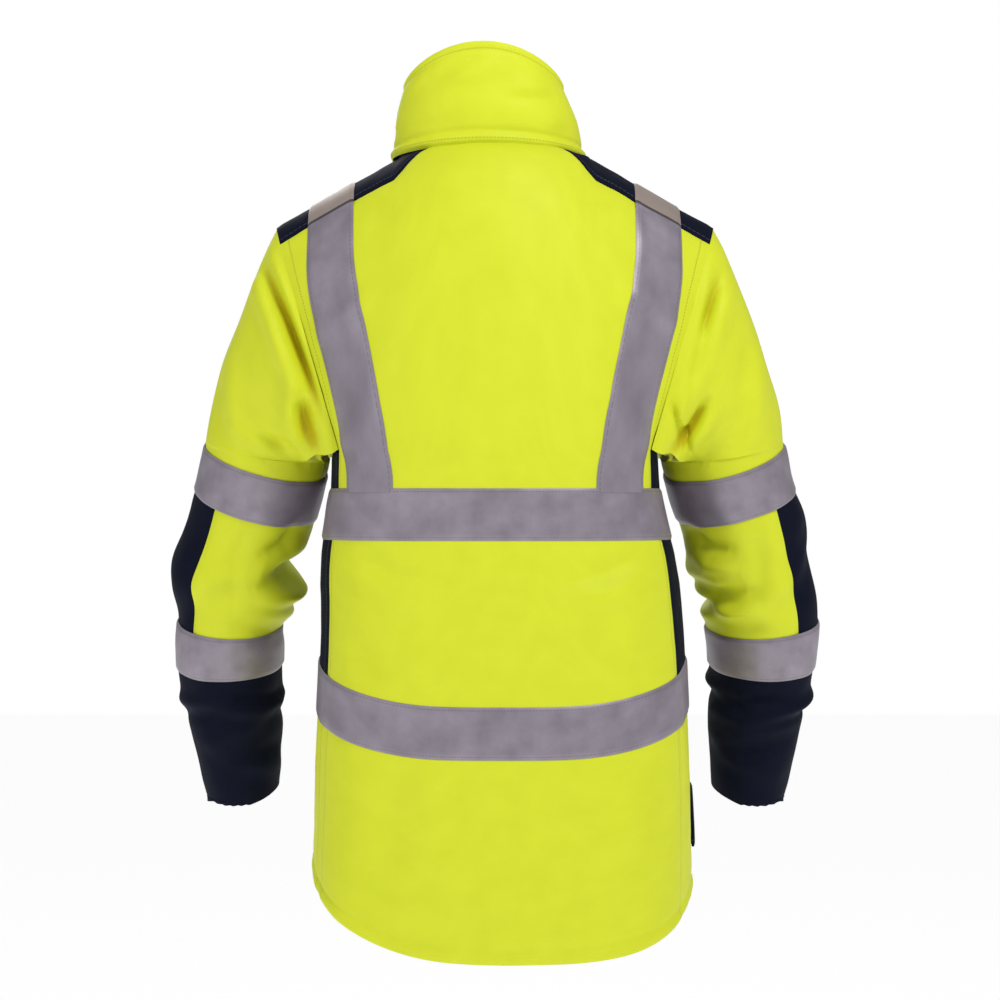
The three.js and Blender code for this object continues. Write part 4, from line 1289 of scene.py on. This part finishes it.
def makeZip():
    knitted = clothMaterial("zipTapeKnit", {**liningLook, "threads": 2600.0, "bump": 0.5, "weaveHeight": 0.5})
    guardCloth = clothMaterial("windGuardTwill", navyLook)
    for name, sign in sideNames:
        def tapePlace(across, along, sign=sign):
            x = sign * mix(zipper["tapeInner"], zipper["tapeOuter"], across)
            bead = 0.0010 * bell(across - 0.06, 0.05)
            return onFront(x, mix(zipper["bottom"], zipper["top"], along), 0.0008 + bead)

        tape = clothPiece(f"{name}ZipTape", 14, 60, tapePlace, coat["tapeThick"], outSign=-sign,
                          sizeUV=(0.014, 0.65))
        dress(tape, knitted, "black_trim", "coat_body", f"{name}_zip_tape")

    def guardPlace(across, along):
        x = mix(-zipper["guardHalfWidth"], zipper["guardHalfWidth"], across)
        return onFront(x, mix(zipper["bottom"], zipper["top"] - 0.003, along), -0.0009)

    guard = clothPiece("windGuard", 10, 40, guardPlace, 0.0012, outSign=-1, sizeUV=(0.029, 0.64))
    dress(guard, guardCloth, "navy_shell", "coat_body", "wind_guard")

    tooth = block("tooth", (0, 0, 0), zipper["tooth"], 0.0004, 1)
    count = int((zipper["top"] - zipper["bottom"]) / zipper["pitch"])
    teeth = []
    for i in range(count):
        for sign in (1, -1):
            copy = tooth.copy()
            copy.data = tooth.data.copy()
            bpy.context.collection.objects.link(copy)
            half = 0 if sign > 0 else zipper["pitch"] / 2
            level = zipper["bottom"] + 0.001 + i * zipper["pitch"] + half
            copy.data.transform(Matrix.Translation((sign * 0.0011, zipper["toothOut"], level)))
            teeth.append(copy)
    bpy.data.objects.remove(tooth)
    row = joined("zipTeeth", teeth)
    moveToFront(row)
    dress(row, zipMetal, "zip_metal", "coat_body", "zip_teeth")

    box = joined("zipBox", [
        block("boxBody", (0, 0.0014, -0.7343), (0.0100, 0.0034, 0.0126), 0.0009),
        block("boxRib", (0, 0.0032, -0.7343), (0.0062, 0.0010, 0.0080), 0.0004),
    ])
    moveToFront(box)
    dress(box, zipMetal, "zip_metal", "coat_body", "zip_box")

    slider = block("zipSlider", (0, 0.0046, -0.0900), (0.0120, 0.0030, 0.0160), 0.0011, 3)
    pressFront(slider, [(0.0016, -0.0005), (0.0014, 0.0012)])
    bridge = block("bridge", (0, 0.0066, -0.0880), (0.0034, 0.0016, 0.0100), 0.0006)
    whole = joined("zipSlider", [slider, bridge])
    moveToFront(whole)
    dress(whole, zipMetal, "zip_metal", "slider_body", "zip_slider")

    tall = puller["top"] - puller["bottom"]
    middle = (puller["top"] + puller["bottom"]) / 2
    bladeSize = (puller["wide"], puller["thick"], tall - 0.012)
    blade = block("zipPuller", (0, puller["out"], middle - 0.006), bladeSize, 0.0005)
    pressFront(blade, [(0.0014, -0.0004)])
    deselectAll()
    bpy.ops.mesh.primitive_torus_add(
        location=(0, puller["out"], puller["top"] - 0.0058), rotation=(math.radians(90), 0, 0),
        major_radius=0.0042, minor_radius=0.0008, major_segments=28, minor_segments=10)
    ring = bpy.context.object
    bpy.ops.object.transform_apply(location=True, rotation=True, scale=True)
    pull = joined("zipPuller", [blade, ring])
    moveToFront(pull)
    dress(pull, zipMetal, "zip_metal", "puller_body", "zip_puller")


pocket = {
    "innerX": 0.062, "outerX": 0.170, "top": -0.648, "bottom": -0.736, "bulge": 0.006, "flap": 0.062,
    "flapTop": -0.631,
}


def makePockets():
    patch = clothMaterial("pocketTwill", withStitch(yellowLook, (0, 0.115), (1, 0.090)))
    flapCloth = clothMaterial("flapTwill", withStitch(navyLook, (0, 0.125), (1, 0.062)))
    for name, sign in sideNames:
        def turnOf(share, level):
            inner = turnAt(np.full_like(level, pocket["innerX"]), level, True)
            outer = turnAt(np.full_like(level, pocket["outerX"]), level, True)
            return mix(inner, outer, share)

        def pocketPlace(across, along, sign=sign):
            level = mix(pocket["bottom"], pocket["top"], along)
            rise = pocket["bulge"] * np.sin(math.pi * across) ** 0.6 * np.sin(math.pi / 2 * along) ** 0.6
            edge = np.minimum(np.minimum(across, 1 - across) * 0.115, along * 0.09)
            seat = coat["tapeRest"] - 0.0016 * bell(edge, 0.003)
            return onBody(sign * turnOf(across, level), level, seat + rise)

        bag = clothPiece(f"{name}HipPocket", 44, 36, pocketPlace, coat["clothThick"], outSign=-sign,
                         sizeUV=(0.115, 0.09))
        dress(bag, patch, "yellow_shell", "coat_body", f"{name}_hip_pocket")

        def flapPlace(across, along, sign=sign):
            level = mix(pocket["flapTop"] - pocket["flap"], pocket["flapTop"], along)
            inner = turnOf(-0.055 + 0 * level, level)
            outer = turnOf(1.055 + 0 * level, level)
            turn = mix(inner, outer, across)
            hang = smooth(1 - along, 0.0, 0.22)
            edge = edgeGap(across, along, 0.125, 0.062)
            lift = 0.0032 + 0.0072 * hang - 0.0010 * bell(edge, 0.002)
            return onBody(sign * turn, level, lift)

        flap = clothPiece(f"{name}HipFlap", 44, 26, flapPlace, 0.0016, outSign=-sign, sizeUV=(0.125, 0.062))
        dress(flap, flapCloth, "navy_shell", f"{name}_pocket_flap_body", f"{name}_hip_pocket_flap")


cuffTab = {"from": 225.0, "to": 300.0, "low": -0.632, "high": -0.604, "lift": 0.0036}


def makeCuffTabs():
    cloth = clothMaterial("cuffTabTwill", withStitch(navyLook, (0, 0.058), (1, 0.028)))
    for name, sign in sideNames:
        def tabPlace(across, along, sign=sign):
            # the end that peels is rounded
            tip = 1 - np.clip(across / 0.16, 0, 1)
            half = 0.5 * np.sqrt(np.clip(1 - 0.75 * tip ** 2, 0, 1))
            spread = 0.5 + (along - 0.5) * 2 * half
            theta = mix(cuffTab["from"], cuffTab["to"], across)
            level = mix(cuffTab["low"], cuffTab["high"], spread)
            edge = edgeGap(across, along, 0.058, 0.028)
            lift = cuffTab["lift"] + 0.0008 - 0.0008 * bell(edge, 0.0015)
            return onSleeve(theta, level, lift, sign)

        tab = clothPiece(f"{name}CuffTab", 36, 16, tabPlace, 0.0014, outSign=-sign, sizeUV=(0.058, 0.028))
        dress(tab, cloth, "navy_shell", f"{name}_cuff_tab_body", f"{name}_cuff_tab")


sideTab = {"from": -108.0, "to": -86.0, "high": -0.631, "low": -0.693}


def makeSideTab():
    # a small navy binding tab at the wearer's right, behind the pocket
    def tabPlace(across, along):
        turn = mix(sideTab["from"], sideTab["to"], across)
        level = mix(sideTab["low"], sideTab["high"], along)
        edge = edgeGap(across, along, 0.06, 0.06)
        return onBody(turn, level, 0.0044 - 0.0012 * bell(edge, 0.0018))

    cloth = clothMaterial("sideTabTwill", withStitch(navyLook, (0, 0.060), (1, 0.062)))
    tab = clothPiece("rightSideTab", 26, 26, tabPlace, 0.0024, sizeUV=(0.060, 0.062))
    dress(tab, cloth, "navy_shell", "coat_body")


makeCuffTabs()
makeSideTab()
print("cuff tabs")
makeLinings()
print("linings")
makeZip()
print("zip")
makePockets()
print("pockets")
